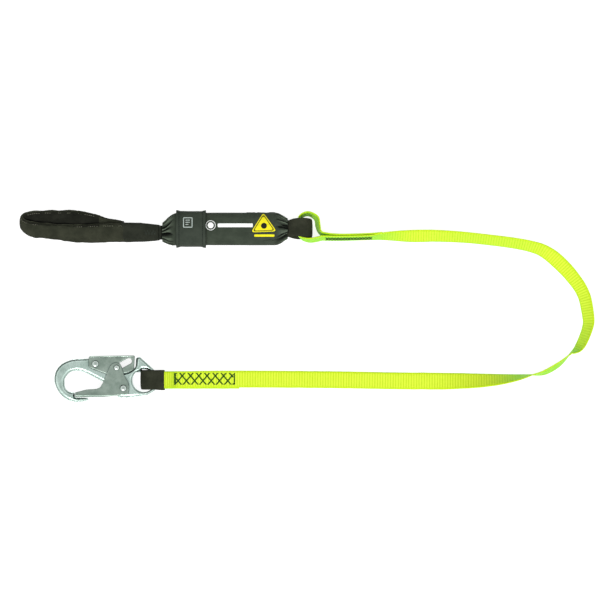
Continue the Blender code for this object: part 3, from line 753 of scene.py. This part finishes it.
def leg_strap():
    """The whole leg, from the link's tail round the fold to the tail at the hook."""
    fold = spot_of("leg_flex")
    low, high = (fold.x, fold.y, 0.0), (fold.x, fold.y, 2 * fold.z)
    upper = strap_of("leg_webbing_upper", low, high)
    lower = strap_of("leg_webbing_lower", low, high)
    return Strap(np.vstack([upper.a[::-1], lower.a]), np.vstack([upper.b[::-1], lower.b]))


def make_leg():
    strap = leg_strap().resampled(RIB_PITCH / RIB_STEPS)
    web = woven("leg_web", strap, WEB_THICK, "hi_vis", RIB_PITCH, RIB_HEIGHT, 0.25 * MM,
                WEB_COLUMNS)
    tree = tree_of(web)
    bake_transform(web)
    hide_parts("leg_webbing_upper", "leg_webbing_lower")

    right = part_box("hook_end_sleeve")[1].x
    turn = strap.part((strap.mid[:, 0] < right) & (strap.mid[:, 1] < 0))
    cover = fabric_sleeve("hook_end_cover", turn.resampled(TUBE_STEP), HOOK_SLEEVE_ROOM, 0.9 * MM,
                          1.2 * MM, "sleeve", 0.5 * MM, 0.5 * MM, 4.0)
    hold(cover, "leg_lower", "sleeve_fabric", "hook_end_sleeve")
    make_hook_end_stitches(tree)
    make_link_stitches(tree)


def zigzag(x0, x1, low, high, half_pitch, up_first):
    places, x, up = [], x0, up_first
    while x < x1:
        places.append((x, high if up else low))
        x, up = x + half_pitch, not up
    return places


def between(places, longest):
    """Needle holes along a line of places, none further apart than the longest stitch."""
    holes = [places[0]]
    for (x0, y0), (x1, y1) in zip(places, places[1:]):
        pieces = max(1, int(np.ceil(hypot(x1 - x0, y1 - y0) / longest)))
        holes += [(x0 + (x1 - x0) * k / pieces, y0 + (y1 - y0) * k / pieces)
                  for k in range(1, pieces + 1)]
    return holes


def laid_thread(tree, places, name="thread", radius=STITCH_RADIUS, material="stitch",
                arch=(2.5, 0.7, 1.6), base=Vector(), lean=0.0, far=ABOVE):
    """A thread over a surface seen from above, or leaning by an angle, which arches from each
    hole to the next: arch is the rise of its middle, its bluntness and how deep its ends sink.
    """
    out = Vector((0, -sin(lean), cos(lean)))
    up = Vector((0, cos(lean), sin(lean)))
    rise, blunt, sink = arch
    path = []
    for (x0, y0), (x1, y1) in zip(places, places[1:]):
        for k in range(THREAD_STEPS):
            t = k / THREAD_STEPS
            origin = base + up * (y0 + (y1 - y0) * t) + out * far
            origin.x = x0 + (x1 - x0) * t
            hit = tree.ray_cast(origin, -out)[0]
            if hit is not None:
                path.append(hit + out * radius * (rise * sin(pi * t) ** blunt - sink))
    return tube(name, path, radius, 6, material)


def make_hook_end_stitches(tree):
    """A lattice of slanting stitch lines, with a bar across the web at both ends."""
    low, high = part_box("hook_end_stitching")
    middle = (low.y + high.y) / 2 + 1.2 * MM
    left, right = low.x - SEWN_EXTRA, high.x - 5.0 * MM
    bottom, top = middle - ROW_REACH, middle + ROW_REACH
    parts = []
    for slant, first in LATTICE_PHASES:
        for n in range(-2, 9):
            x = left + first + n * LATTICE
            ends = [(x, top), (x + slant * LATTICE_LEAN, bottom)]
            holes = [(u, v) for u, v in between(ends, STITCH_LONG) if left < u < right]
            for side in (0, 1):
                beside = [(u + side * STITCH_DOUBLE, v) for u, v in holes]
                if len(beside) > 1:
                    parts.append(laid_thread(tree, beside))
    for end, rows in ((left, 3), (right, 2)):
        for k in range(rows):
            bar = [(end + (k * 0.9 + (n % 2) * 0.7) * MM, bottom + 2 * ROW_REACH * n / 9)
                   for n in range(10)]
            parts.append(laid_thread(tree, bar))
    hold(join("hook_end_thread", parts), "leg_lower", "stitch_thread", "hook_end_stitching")


def make_link_stitches(tree):
    """The zigzags through the leg and its tail, on the face that looks towards the hook's side."""
    low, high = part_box("link_end_stitching")
    base = Vector((0, (low.y + high.y) / 2, (low.z + high.z) / 2))
    parts = []
    for start in (0.0, 1.0 * MM):
        for up_first in (False, True):
            places = zigzag(low.x + start, high.x + 6 * MM, -LINK_REACH, LINK_REACH, ZIGZAG / 2,
                            up_first)
            parts.append(laid_thread(tree, places, arch=(1.5, 0.5, 0.7), base=base,
                                     lean=LINK_LEAN, far=0.03))
    hold(join("link_end_thread", parts), "leg_upper", "stitch_thread", "link_end_stitching")


# ---- soft loop

def make_soft_loop():
    hinge = spot_of("soft_loop_lift")
    ends = [hinge + Vector((1.0 * MM, side * 8.0 * MM, -2.2 * MM)) for side in (-1, 1)]
    strap = strap_of("soft_loop_webbing", *ends)
    web = woven("soft_web", strap.resampled(1.5 * MM), WEB_THICK, "black_web", BLACK_PITCH,
                0.1 * MM)
    hold(web, "soft_loop", "black_webbing", "soft_loop_webbing")
    make_loop_sleeve(strap)
    make_neck(strap, hinge)


def make_loop_sleeve(strap):
    """The sleeve round the loop, with a raw seam and its thread along the far edge."""
    band = strap.part(strap.mid[:, 0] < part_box("soft_loop_sleeve")[1].x).resampled(TUBE_STEP)
    # slack in the sleeve closes the gap between the near and the far side of the loop
    share = np.linspace(0, 1, len(band.along))[:, None]
    far_side = np.clip((0.5 - share) / 0.12, 0, 1)
    far_side = far_side * np.clip((SLACK_END - band.mid[:, :1]) / (20 * MM), 0, 1)
    near_side = np.clip((share - 0.5) / 0.12, 0, 1) * np.clip((1.0 - share) / 0.1, 0, 1)
    band = Strap(band.a - np.array((0, 1, 0)) * far_side * FAR_SLACK,
                 band.b + band.across * near_side * NEAR_SLACK)
    cover = fabric_sleeve("soft_band", band, LOOP_SLEEVE_ROOM, 0.7 * MM, 0.7 * MM, "sleeve",
                          1.0 * MM, 1.9 * MM, 1.0)
    shade_loop_inside(cover, band)
    edge = Strap(band.a, band.b + band.across * 1.2 * MM)
    seam = flange("soft_seam", edge, SEAM_REACH, "sleeve", 3.0)
    hold(join("soft_cover", [cover, seam]), "soft_loop", "sleeve_fabric", "soft_loop_sleeve")
    parts = [dashes("seam", edge.b - edge.across * 1.3 * MM + edge.normal * side * 2.5 * MM,
                    1.6 * MM, 3.3 * MM, 0.36 * MM, "pale_thread") for side in (-1, 1)]
    hold(join("soft_seam_thread", parts), "soft_loop", "stitch_thread")


def make_neck(strap, hinge):
    """The cover round both ends of the loop, from where they part to the hinge in the pack."""
    turn = len(strap.mid) // 2
    front = strap.part(slice(0, turn)).resampled(1.0 * MM)
    back = strap.part(slice(turn, None))
    back = Strap(back.a[::-1], back.b[::-1]).resampled(1.0 * MM)
    front = front.part(slice(0, int(np.argmax(front.mid[:, 0] < NECK_REACH))))
    neck = Strap((front.a + matched(back, back.a, front)) / 2,
                 (front.b + matched(back, back.b, front)) / 2).resampled(TUBE_STEP)
    neck = neck.part(neck.mid[:, 0] < hinge.x - NECK_CLEAR)
    spread = ease((NECK_REACH + 30 * MM - neck.mid[:, 0]) / (24 * MM))
    neck = Strap(neck.a - neck.across * (2.2 + 0.3 * spread[:, None]) * MM,
                 neck.b + neck.across * (2.0 - 0.8 * spread[:, None]) * MM)
    # thin at the hinge, so that it can lift, and thick where it takes in both bands
    narrow = ease((neck.mid[:, 0] - hinge.x + 10 * MM) / (9 * MM))
    inside = (7.4 + 3.6 * spread - 2.2 * narrow) * MM
    wrap = fabric_sleeve("soft_neck", neck, inside, 0.9 * MM, 0.6 * MM, "neck", 0.6 * MM,
                         1.0 * MM, 7.0)
    tree = tree_of(wrap)
    # the neck's end is round about the hinge, so it fills the pack's mouth at every lift
    low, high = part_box("soft_loop_neck_cover")
    half = (high.y - low.y) / 2 - KNUCKLE_INSET
    ends = [hinge + Vector((0, half * k / 8, 0)) for k in range(-8, 9)]
    wrap = join("soft_neck", [wrap, tube("neck_end", ends, KNUCKLE, 24, "neck")])
    hold(wrap, "soft_loop", "black_webbing", "soft_loop_neck_cover")

    low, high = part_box("soft_loop_stitching")
    middle = (low.y + high.y) / 2
    places = zigzag(low.x, high.x, middle - 4 * MM, middle + 4 * MM, 2.2 * MM, True)
    thread = laid_thread(tree, places, "soft_neck_thread", 0.3 * MM, "hem_thread")
    hold(thread, "soft_loop", "stitch_thread", "soft_loop_stitching")


def shade_loop_inside(cover, strap):
    """Paint shade on the faces of a looped sleeve that look into the loop, with a near-black cloth.
    """
    cover.data.materials.append(MATERIALS["loop_shade"])
    tree = nearest_of(strap.mid)
    inward = np.sign(np.sum(strap.normal * (strap.mid.mean(axis=0) - strap.mid)))
    for face in cover.data.polygons:
        i = tree.find(face.center)[1]
        looks_in = np.dot(strap.normal[i], face.normal) * inward > 0.45
        if looks_in and face.center.x < LOOP_SHADE_END:
            face.material_index = 1


def matched(strap, edge, other):
    """One edge of a strap at the places where another strap has the same x."""
    return columns_at(other.mid[:, 0], strap.mid[::-1, 0], edge[::-1])


# ---- absorber pack

def cad_sections(node):
    """The outline of a CAD tube along X: x, middle y and z, half width and half height."""
    spots = np.array([v.co for v in NODES[node].data.vertices])
    rows = []
    for x in sorted(set(np.round(spots[:, 0], 5))):
        ring = spots[np.abs(spots[:, 0] - x) < 2e-5]
        (y0, z0), (y1, z1) = ring[:, 1:].min(0), ring[:, 1:].max(0)
        rows.append((x, (y0 + y1) / 2, (z0 + z1) / 2, (y1 - y0) / 2, (z1 - z0) / 2))
    return np.array(rows)


def section_at(rows, x):
    """Middle y and z, half width and half height of a CAD tube, averaged over the places x."""
    return [np.mean(np.interp(x, rows[:, 0], column)) for column in rows.T[1:]]


def swayed(x, turn, along, around):
    """Noise over a tube about X, which meets itself after a whole turn."""
    return noise.noise(Vector((x * along, *circle(turn, around))))


def make_cover():
    rows = cad_sections("pack_cover")
    left, right = rows[0, 0], rows[-1, 0]
    points, shade_amount = [], []
    for x in np.linspace(left, right, COVER_STEPS):
        # the shoulders are rounded: each section is the mean of its neighbours'
        y, z, half_w, half_h = section_at(rows, x + np.linspace(-SHOULDER, SHOULDER, 5))
        # 1 at a mouth of the cover, fading to 0 where the pack's body starts
        gather = float(max(0.0, 1 - min(x - left, right - x) / GATHER_LONG))
        # the gathered cloth puffs out past a straight taper, and tucks in at the elastic
        puff = PUFF * sin(pi * min(1.0, gather)) ** 0.8
        power = 3.2 - 0.9 * gather
        for k in range(COVER_RING):
            turn = k / COVER_RING
            v, h = round_box(turn, half_w + puff, half_h + puff * 0.6, power)
            sway = swayed(x, turn, 45, 3)
            valley = abs(sin(pi * turn * GATHER_FOLDS + 2.4 * sway)) ** 0.6
            depth = FOLD_SHARE * ease((gather - 0.05) * 1.5) * (0.6 + 1.4 * abs(sway))
            tuck = 1 - depth * (1 - valley)
            # crowns get a painted highlight, fold bottoms painted shade
            crown = 0.9 * depth * max(0.0, valley - 0.7) / 0.3
            shade_amount.append(min(1.0, 2.6 * depth * (1 - valley)) - crown)
            points.append((x, y + v * tuck, max(FLOOR_CLEAR, z + h * tuck)))
    mesh = bpy.data.meshes.new("absorber_cover")
    mesh.from_pydata(points, [], skin(COVER_STEPS, COVER_RING, False))
    cover = placed("absorber_cover", mesh)
    paint_shading(mesh, shade_amount)
    relax(cover, left, right, rows[len(rows) // 2, 1:3])
    cover.data.shade_smooth()
    cover.data.materials.append(MATERIALS["cover"])
    thicken = cover.modifiers.new("thicken", "SOLIDIFY")
    thicken.thickness = COVER_WALL
    thicken.offset = -1.0
    smooth = cover.modifiers.new("smooth", "SUBSURF")
    smooth.levels = smooth.render_levels = 1
    bake(cover)
    return hold(cover, "pack", "pack_fabric", "pack_cover")


def paint_shading(mesh, depths):
    """Note how much painted shade each vertex gets, which the cloth darkens by; crowns, with a
    painted highlight, are negative.
    """
    mesh.attributes.new("crease", "FLOAT", "POINT").data.foreach_set("value", depths)


def bake(piece):
    """Apply a piece's modifiers to its mesh."""
    graph = bpy.context.evaluated_depsgraph_get()
    made = bpy.data.meshes.new_from_object(piece.evaluated_get(graph))
    made.name = piece.name
    piece.modifiers.clear()
    piece.data = made


def relax(cover, left, right, middle):
    """Let the cover's cloth swell over the pack with slack to wrinkle, held at both mouths."""
    mesh = cover.data
    rest = np.array([v.co for v in mesh.vertices])
    held = cover.vertex_groups.new(name="held")
    for v in mesh.vertices:
        edge = min(v.co.x - left, right - v.co.x)
        held.add([v.index], 1.0 if edge < 3 * MM else 0.0, "REPLACE")
    cloth = cover.modifiers.new("cloth", "CLOTH")
    given = cloth.settings
    given.quality = 5
    given.effector_weights.gravity = 0.0
    given.use_pressure = True
    given.uniform_pressure_force = 3.0
    given.vertex_group_mass = "held"
    given.shrink_min = -0.05
    given.bending_stiffness = 0.05
    cloth.point_cache.frame_start = 1
    cloth.point_cache.frame_end = SIM_FRAMES
    scene = bpy.context.scene
    for frame_number in range(1, SIM_FRAMES + 1):
        scene.frame_set(frame_number)
    graph = bpy.context.evaluated_depsgraph_get()
    swollen = cover.evaluated_get(graph).to_mesh()
    spots = np.array([v.co for v in swollen.vertices])
    moved = spots - rest
    # the folded webbing inside bears the cloth up, so it never sinks below where it lay
    outward = unit((rest - np.array((0, *middle))) * np.array((0, 1, 1)))
    sunk_in = np.minimum(0.0, np.sum(moved * outward, axis=1, keepdims=True))
    moved -= outward * sunk_in
    far = np.linalg.norm(moved, axis=1)
    # the cuff slides over the cover's left part, so the cloth stays close there
    room = CLOSE_CAP + (LOOSE_CAP - CLOSE_CAP) * ease((rest[:, 0] - CUFF_REACH) / (20 * MM))
    share = np.minimum(1.0, room / np.maximum(far, 1e-9))
    spots = rest + moved * share[:, None]
    spots[:, 2] = np.maximum(spots[:, 2], FLOOR_CLEAR)
    cover.modifiers.clear()
    mesh.vertices.foreach_set("co", spots.astype(np.float32).ravel())
    mesh.update()
    scene.frame_set(1)


def make_cuff():
    rows = cad_sections("label_cuff")
    left, right = rows[0, 0], rows[-1, 0]
    outer, inner, shade_amount = [], [], []
    for x in np.linspace(left, right, CUFF_STEPS):
        y, z, half_w, half_h = section_at(rows, x)
        end = min(x - left, right - x)
        hem = 1 - ease((end - HEM_WIDTH) / (1.2 * MM))
        flare = 1 - ease(end / (9 * MM))
        groove = max(0.0, 1 - abs(end - HEM_WIDTH) / (0.9 * MM))
        for k in range(COVER_RING):
            turn = k / COVER_RING
            slack = 0.6 * swayed(x, turn, 55, 2)
            extra = (0.5 * flare + slack + 0.5 * hem - 0.3 - 0.5 * groove) * MM
            # painted shade in the groove by each hem
            shade_amount.append(0.75 * groove)
            v, h = round_box(turn, half_w + extra, half_h + extra, 3.2)
            outer.append((x, y + v, max(z + h, FLOOR_CLEAR)))
            v, h = round_box(turn, half_w - CUFF_WALL, half_h - CUFF_WALL, 3.4)
            inner.append((x, y + v, z + h))
    cuff = build("cuff_cloth", outer + inner, double_skin(CUFF_STEPS, COVER_RING), "cuff")
    # the whole inside of the cuff gets painted shade too
    paint_shading(cuff.data, shade_amount + [0.6] * len(inner))
    tree = tree_of(cuff)
    hold(cuff, "cuff", "pack_fabric", "label_cuff")

    parts = []
    for x in (left + HEM_WIDTH, right - HEM_WIDTH):
        centre = Vector((x, rows[0, 1], rows[0, 2]))
        path = []
        for turn in np.linspace(0, 1, 241):
            way = Vector((0, *circle(turn)))
            path.append(tree.ray_cast(centre + way * 0.06, -way)[0] + way * 0.1 * MM)
        parts.append(dashes("hem", path, 2.0 * MM, 2.9 * MM, 0.28 * MM, "hem_thread"))
    hold(join("cuff_thread", parts), "cuff", "stitch_thread")
    make_booklet()
    return tree


def make_booklet():
    """A small folded label between the pack and its cuff: four leaves in a stack, each with a slight
    wave.
    """
    low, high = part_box("label_booklet")
    parts = []
    leaf = (high.z - low.z) / 5
    for n in range(4):
        z = low.z + leaf * (n + 0.8)
        back = (n % 2) * 0.6 * MM
        rows = [Vector((x, 0, z + 0.12 * MM * sin(x * 900 + n)))
                for x in np.linspace(low.x + back, high.x - back, 24)]
        a = [row + Vector((0, low.y + back, 0)) for row in rows]
        b = [row + Vector((0, high.y - back, 0)) for row in rows]
        parts.append(woven("leaf", Strap(a, b), leaf * 0.7, "paper", columns=3))
    hold(join("booklet", parts), "cuff", "label_paper", "label_booklet")


def make_inner_pack():
    """The folded tear webbing, its backup strap and the black loop the link hangs on."""
    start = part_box("tear_ply_a")[0].x + 4.7 * MM
    for node, name in (("tear_ply_a", "tear_a"), ("tear_ply_b", "tear_b")):
        low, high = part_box(node)
        z = low.z + TEAR_THICK / 2
        strap = strap_of(node, (start, low.y, z), (start, high.y, z)).split(1.5 * MM)
        web = woven(name, strap.resampled(1.0 * MM), TEAR_THICK, "tear_web", 2.0 * MM, 0.08 * MM,
                    columns=5)
        hold(web, "pack", "tear_webbing", node)

    low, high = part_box("backup_webbing")
    strap = strap_of("backup_webbing", (low.x, low.y, high.z), (low.x, high.y, high.z))
    web = woven("backup_web", strap.resampled(1.5 * MM), TEAR_THICK, "black_web", BLACK_PITCH,
                0.08 * MM, columns=5)
    hold(web, "pack", "black_webbing", "backup_webbing")

    low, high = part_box("absorber_loop_webbing")
    z = (low.z + high.z) / 2 + 0.3 * MM
    strap = strap_of("absorber_loop_webbing", (low.x, low.y + 5 * MM, z),
                     (low.x, high.y - 5 * MM, z))
    web = woven("absorber_loop_web", strap.resampled(1.2 * MM), WEB_THICK, "black_web",
                BLACK_PITCH, 0.1 * MM)
    hold(web, "pack", "black_webbing", "absorber_loop_webbing")

    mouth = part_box("pack_cover")[1].x - 3 * MM
    turn = strap.part(strap.mid[:, 0] > mouth).resampled(TUBE_STEP)
    cover = fabric_sleeve("absorber_loop_cover", turn, LINK_SLEEVE_ROOM, 0.65 * MM, 0.6 * MM,
                          "sleeve", 0.2 * MM, 0.35 * MM, 2.0)
    hold(cover, "pack", "sleeve_fabric", "absorber_loop_sleeve")


# ---- prints

def rounded_outline(corners, radius):
    """A polygon with its corners rounded."""
    out = []
    count = len(corners)
    for k in range(count):
        before, here, after = (Vector(corners[(k + d) % count]) for d in (-1, 0, 1))
        to_before, to_after = (before - here).normalized(), (after - here).normalized()
        half = to_before.angle(to_after) / 2
        start = here + to_before * radius / np.tan(half)
        end = here + to_after * radius / np.tan(half)
        for n in range(CORNER_STEPS + 1):
            t = n / CORNER_STEPS
            out.append(start.lerp(here, t).lerp(here.lerp(end, t), t))
    return out


def offset_outline(outline, centre, share):
    return [Vector(centre) + (p - Vector(centre)) * share for p in outline]


def finer(outline, pieces=None):
    """An outline with each side cut up, into the given number of pieces where it is given."""
    edge, counts = [], []
    for k, (p, q) in enumerate(zip(outline, outline[1:] + outline[:1])):
        count = pieces[k] if pieces else max(1, int((q - p).length / PRINT_STEP))
        counts.append(count)
        edge += [p.lerp(q, n / count) for n in range(count)]
    return edge, counts


def filled(outline, tree, material, lift=PRINT_LIFT):
    """A flat printed shape laid over a surface."""
    edge, _ = finer(outline)
    xs, ys = ([p[axis] for p in edge] for axis in (0, 1))
    inner = [Vector((x, y)) for x in np.arange(min(xs), max(xs), PRINT_STEP)
             for y in np.arange(min(ys), max(ys), PRINT_STEP) if inside((x, y), edge)]
    count = len(edge)
    made = delaunay_2d_cdt(edge + inner, [(k, (k + 1) % count) for k in range(count)], [], 1, 1e-7)
    points = [on_top(tree, p.x, p.y, lift=lift) for p in made[0]]
    return build("mark", points, [tuple(face) for face in made[2]], material)


def inside(point, polygon):
    """Whether a point lies in a polygon and clear of its corners."""
    x, y = point
    odd = False
    for p, q in zip(polygon, polygon[1:] + polygon[:1]):
        if (p.y > y) != (q.y > y) and x < (q.x - p.x) * (y - p.y) / (q.y - p.y) + p.x:
            odd = not odd
    if not odd:
        return False
    return min(((p.x - x) ** 2 + (p.y - y) ** 2) for p in polygon) > (0.4 * MM) ** 2


def banded(outer, inner, tree, material, lift=PRINT_LIFT):
    """A printed line between two outlines with the same number of points."""
    outer, counts = finer(outer)
    inner, _ = finer(inner, counts)
    points = [on_top(tree, p.x, p.y, lift=lift) for p in outer + inner]
    count = len(outer)
    faces = [(k, (k + 1) % count, count + (k + 1) % count, count + k) for k in range(count)]
    return build("mark", points, faces, material)


def bar_outline(x0, x1, y0, y1, radius):
    return rounded_outline([(x0, y0), (x1, y0), (x1, y1), (x0, y1)], radius)


def circle_outline(x, y, radius):
    return [Vector((x, y)) + Vector(circle(k / CIRCLE_STEPS, radius)) for k in range(CIRCLE_STEPS)]


def make_prints(cover_tree, cuff_tree):
    """Plain marks where the pack is printed: a ring, a write-on strip, a triangle and a bar."""
    low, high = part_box("pack_cover")
    cuff_low, cuff_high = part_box("label_cuff")
    x, y = cuff_high.x + 7.6 * MM, low.y + (high.y - low.y) / 2
    ring = [circle_outline(x, y + 5.2 * MM, radius * MM) for radius in (7.4, 6.6, 4.4)]
    strip = bar_outline(x + 10.5 * MM, x + 63 * MM, y + 2.4 * MM, y + 8.0 * MM, 1.6 * MM)
    parts = [banded(ring[0], ring[1], cover_tree, "white_print"),
             filled(ring[2], cover_tree, "white_print"),
             filled(strip, cover_tree, "white_print")]
    hold(join("pale_print", parts), "pack", "label_paper")

    centre = Vector((x + 79.0 * MM, y + 6.2 * MM))
    corners = [(centre.x + u * MM, centre.y + v * MM)
               for u, v in ((-0.5, 18.0), (-19.0, -11.6), (19.4, -10.0))]
    shape = rounded_outline(corners, 3.0 * MM)
    bar = bar_outline(centre.x - 14 * MM, centre.x + 16 * MM, centre.y - 18.0 * MM,
                      centre.y - 14.6 * MM, 1.2 * MM)
    parts = [filled(outline, cover_tree, "yellow_print") for outline in (shape, bar)]
    hold(join("yellow_marks", parts), "pack", "label_paper")

    middle = (sum(c[0] for c in corners) / 3, sum(c[1] for c in corners) / 3)
    disc = circle_outline(middle[0] + 0.5 * MM, middle[1] - 0.5 * MM, 4.4 * MM)
    over = OVERPRINT * PRINT_LIFT
    parts = [banded(offset_outline(shape, middle, 0.87), offset_outline(shape, middle, 0.77),
                    cover_tree, "dark_print", over),
             filled(disc, cover_tree, "dark_print", over)]
    hold(join("triangle_border", parts), "pack", "label_paper")

    x, y = cuff_low.x + 17.6 * MM, y + 9.4 * MM
    page = [bar_outline(x - u * MM, x + u * MM, y - v * MM, y + v * MM, radius * MM)
            for u, v, radius in ((7.0, 7.6, 1.4), (5.8, 6.4, 0.9))]
    parts = [banded(*page, cuff_tree, "grey_print")]
    for n, reach in enumerate((3.2, 3.2, 1.2)):
        rule = bar_outline(x - 3.4 * MM, x + reach * MM, y + (3.0 - 3.2 * n) * MM,
                           y + (4.0 - 3.2 * n) * MM, 0.45 * MM)
        parts.append(filled(rule, cuff_tree, "grey_print"))
    hold(join("page_mark", parts), "cuff", "label_paper")


# ---- snap hook

def prism(mesh, outline, low, high):
    """Add an upright block to a mesh."""
    work = bmesh.new()
    work.from_mesh(mesh)
    base = work.faces.new([work.verts.new((x, y, low)) for x, y in outline])
    raised = bmesh.ops.extrude_face_region(work, geom=[base])["geom"]
    for vert in raised:
        if isinstance(vert, bmesh.types.BMVert):
            vert.co.z = high
    bmesh.ops.recalc_face_normals(work, faces=work.faces)
    work.to_mesh(mesh)
    work.free()


def round_over(mesh, reach, drop):
    """Let the faces that look up and down fall away towards every outline, as a forging's do."""
    spots = np.array([v.co for v in mesh.vertices])
    facing = np.array([v.normal.z for v in mesh.vertices])
    walls = np.unique(np.round(spots[np.abs(facing) < 0.35, :2], 4), axis=0)
    tree = nearest_of([(x, y, 0.0) for x, y in walls])
    for k in np.flatnonzero(np.abs(facing) > 0.1):
        far = tree.find((spots[k, 0], spots[k, 1], 0.0))[2]
        spots[k, 2] -= facing[k] * drop * (1 - min(1.0, far / reach)) ** 2
    mesh.vertices.foreach_set("co", spots.astype(np.float32).ravel())
    mesh.update()


def worked_metal(name, node, material, body, slot, work, block=None):
    """A fine skin over a CAD metal part, with the rounded edges of forging or tumbling."""
    piece = placed(name, NODES[node].data.copy())
    if block:
        prism(piece.data, *block)
    piece.data.materials.clear()
    piece.data.materials.append(MATERIALS[material])
    skin_over = piece.modifiers.new("skin", "REMESH")
    skin_over.mode = "VOXEL"
    skin_over.voxel_size = work["voxel"]
    ease_edges = piece.modifiers.new("ease", "SMOOTH")
    ease_edges.factor = 0.5
    ease_edges.iterations = work["rounds"]
    bake(piece)
    round_over(piece.data, work["reach"], work["drop"])
    piece.data.shade_smooth()
    hold(piece, body, slot, node)


def turned_rivet(name, node, body):
    """A rivet turned from the profile of its head, mirrored to both ends."""
    low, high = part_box(node)
    centre = (low + high) / 2
    rows = [(r * (high.x - low.x) / 2, h * (high.z - low.z) / 2) for r, h in RIVET_DOME]
    rows += [(r, -z) for r, z in reversed(rows)]
    points = [centre + Vector((*circle(k / RIVET_SIDES, r), z))
              for r, z in rows for k in range(RIVET_SIDES)]
    piece = build(name, points, skin(len(rows), RIVET_SIDES), "rivet", smooth_angle=50)
    hold(piece, body, "rivet_steel", node)


def make_hook():
    # a shoulder on the forging fills the space between the lever's end and the eye
    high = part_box("lock_lever")[1]
    end, top = high.x + 2.0 * MM, high.y - 3.4 * MM
    foot = top - 22 * MM
    shoulder = [(end, top), (end - 0.4 * MM, foot), (end + 9 * MM, foot), (end + 6 * MM, top)]
    low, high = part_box("hook_body")
    block = (shoulder, low.z + 1.5 * MM, high.z - 1.5 * MM)
    worked_metal("hook_forging", "hook_body", "forged", "hook", "zinc_forging", FORGED, block)
    worked_metal("gate_plate", "gate", "pressed", "gate", "zinc_sheet", PRESSED)
    worked_metal("lever_plate", "lock_lever", "pressed", "lever", "zinc_sheet", PRESSED)
    turned_rivet("gate_rivet_head", "gate_rivet", "hook")
    turned_rivet("lever_rivet_head", "lever_rivet", "hook")
    turned_rivet("stop_pin_head", "gate_stop_pin", "gate")
    make_torsion_spring()
    make_press_spring()


def make_torsion_spring():
    """A turn and a quarter round the gate's pivot, with a leg on the body and one on the gate."""
    pivot = spot_of("gate_swing")
    coil = [pivot + Vector((*circle(turn - 0.25, TORSION_RADIUS), 5.75 * MM + 1.0 * MM * turn))
            for turn in np.linspace(0, 1.25, 36)]
    leg = [pivot + Vector((x * MM, -TORSION_RADIUS, 5.7 * MM)) for x in (-12, -9, -5)]
    arm = [pivot + Vector((TORSION_RADIUS, y * MM, 7.0 * MM)) for y in (3, 7, 12)]
    spring = tube("torsion_spring", leg + coil + arm, TORSION_WIRE, 10, "spring")
    hold(spring, "hook", "spring_steel", "gate_spring")


def make_press_spring():
    """The coil under the lever."""
    low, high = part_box("lever_spring")
    centre = (low + high) / 2
    base, top = low.y - 1.0 * MM, high.y + 2.0 * MM
    radius = (high.x - low.x) / 2 - PRESS_WIRE
    coil = []
    for share in np.linspace(0, 1, 111):
        c, s = circle(share * PRESS_TURNS, radius)
        # the end coils lie flat against their seats
        rise = share + 0.06 * sin(2 * pi * share)
        coil.append((centre.x + c, base + (top - base) * rise, centre.z + s))
    spring = tube("press_spring", coil, PRESS_WIRE, 10, "spring")
    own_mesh(spring)
    hold(spring, "hook", "spring_steel", "lever_spring")


# ---- stage

def make_sky():
    """Light that follows the height in the sky, and is a little stronger from the near side."""
    world = bpy.context.scene.world = bpy.data.worlds.new("studio")
    n = Nodes(world)
    way = n.apart(n.add("TexCoord")["Generated"])
    height = n.add("FloatCurve", {"Value": way["Z"]})[0]
    mapping = height.node.mapping
    mapping.clip_max_y = 2.0
    points = mapping.curves[0].points
    for spot in SKY[1:-1]:
        points.new(*spot)
    for point, spot in zip(points, SKY):
        point.location = spot
    mapping.update()
    strength = n.add("Math", {0: way["Y"], 1: -SKY_SIDE, 2: height}, operation="MULTIPLY_ADD")[0]
    n.put(n.tree.nodes["Background"], {"Strength": strength, "Color": (1.0, 1.0, 1.0)})


def make_stage():
    scene = bpy.context.scene
    scene.view_settings.view_transform = "Standard"
    mesh = bpy.data.meshes.new("floor")
    corners = [(u * FLOOR_REACH, v * FLOOR_REACH, 0) for u, v in ((-1, -1), (1, -1), (1, 1), (-1, 1))]
    mesh.from_pydata(corners, [], [(0, 1, 2, 3)])
    n = material_nodes("floor_paint")
    glow = {"Emission Color": (1.0, 1.0, 1.0), "Emission Strength": FLOOR_GLOW}
    mesh.materials.append(n.finish((0.45, 0.45, 0.45), 0.9, specular=0.0, **glow))

    sun = bpy.data.lights.new("key", "SUN")
    sun.energy = KEY_STRENGTH
    sun.angle = radians(15)
    lamp = placed("key", sun)
    lamp.location = KEY_PLACE
    lamp.rotation_euler = (-lamp.location).to_track_quat("-Z", "Y").to_euler()
    placed("floor", mesh)
    make_sky()

    lens = bpy.data.cameras.new("camera")
    lens.sensor_width = 36.0
    lens.lens = lens.sensor_width * CAMERA_HEIGHT / VIEW_WIDTH
    lens.clip_end = 60.0
    scene.camera = placed("camera", lens)
    low, high = CAD_BOX
    scene.camera.location = ((low.x + high.x) / 2 + VIEW_SHIFT[0],
                             (low.y + high.y) / 2 + VIEW_SHIFT[1], CAMERA_HEIGHT)


make_leg()
make_soft_loop()
cover = make_cover()
cuff_tree = make_cuff()
make_inner_pack()
make_prints(tree_of(cover), cuff_tree)
make_hook()
make_stage()
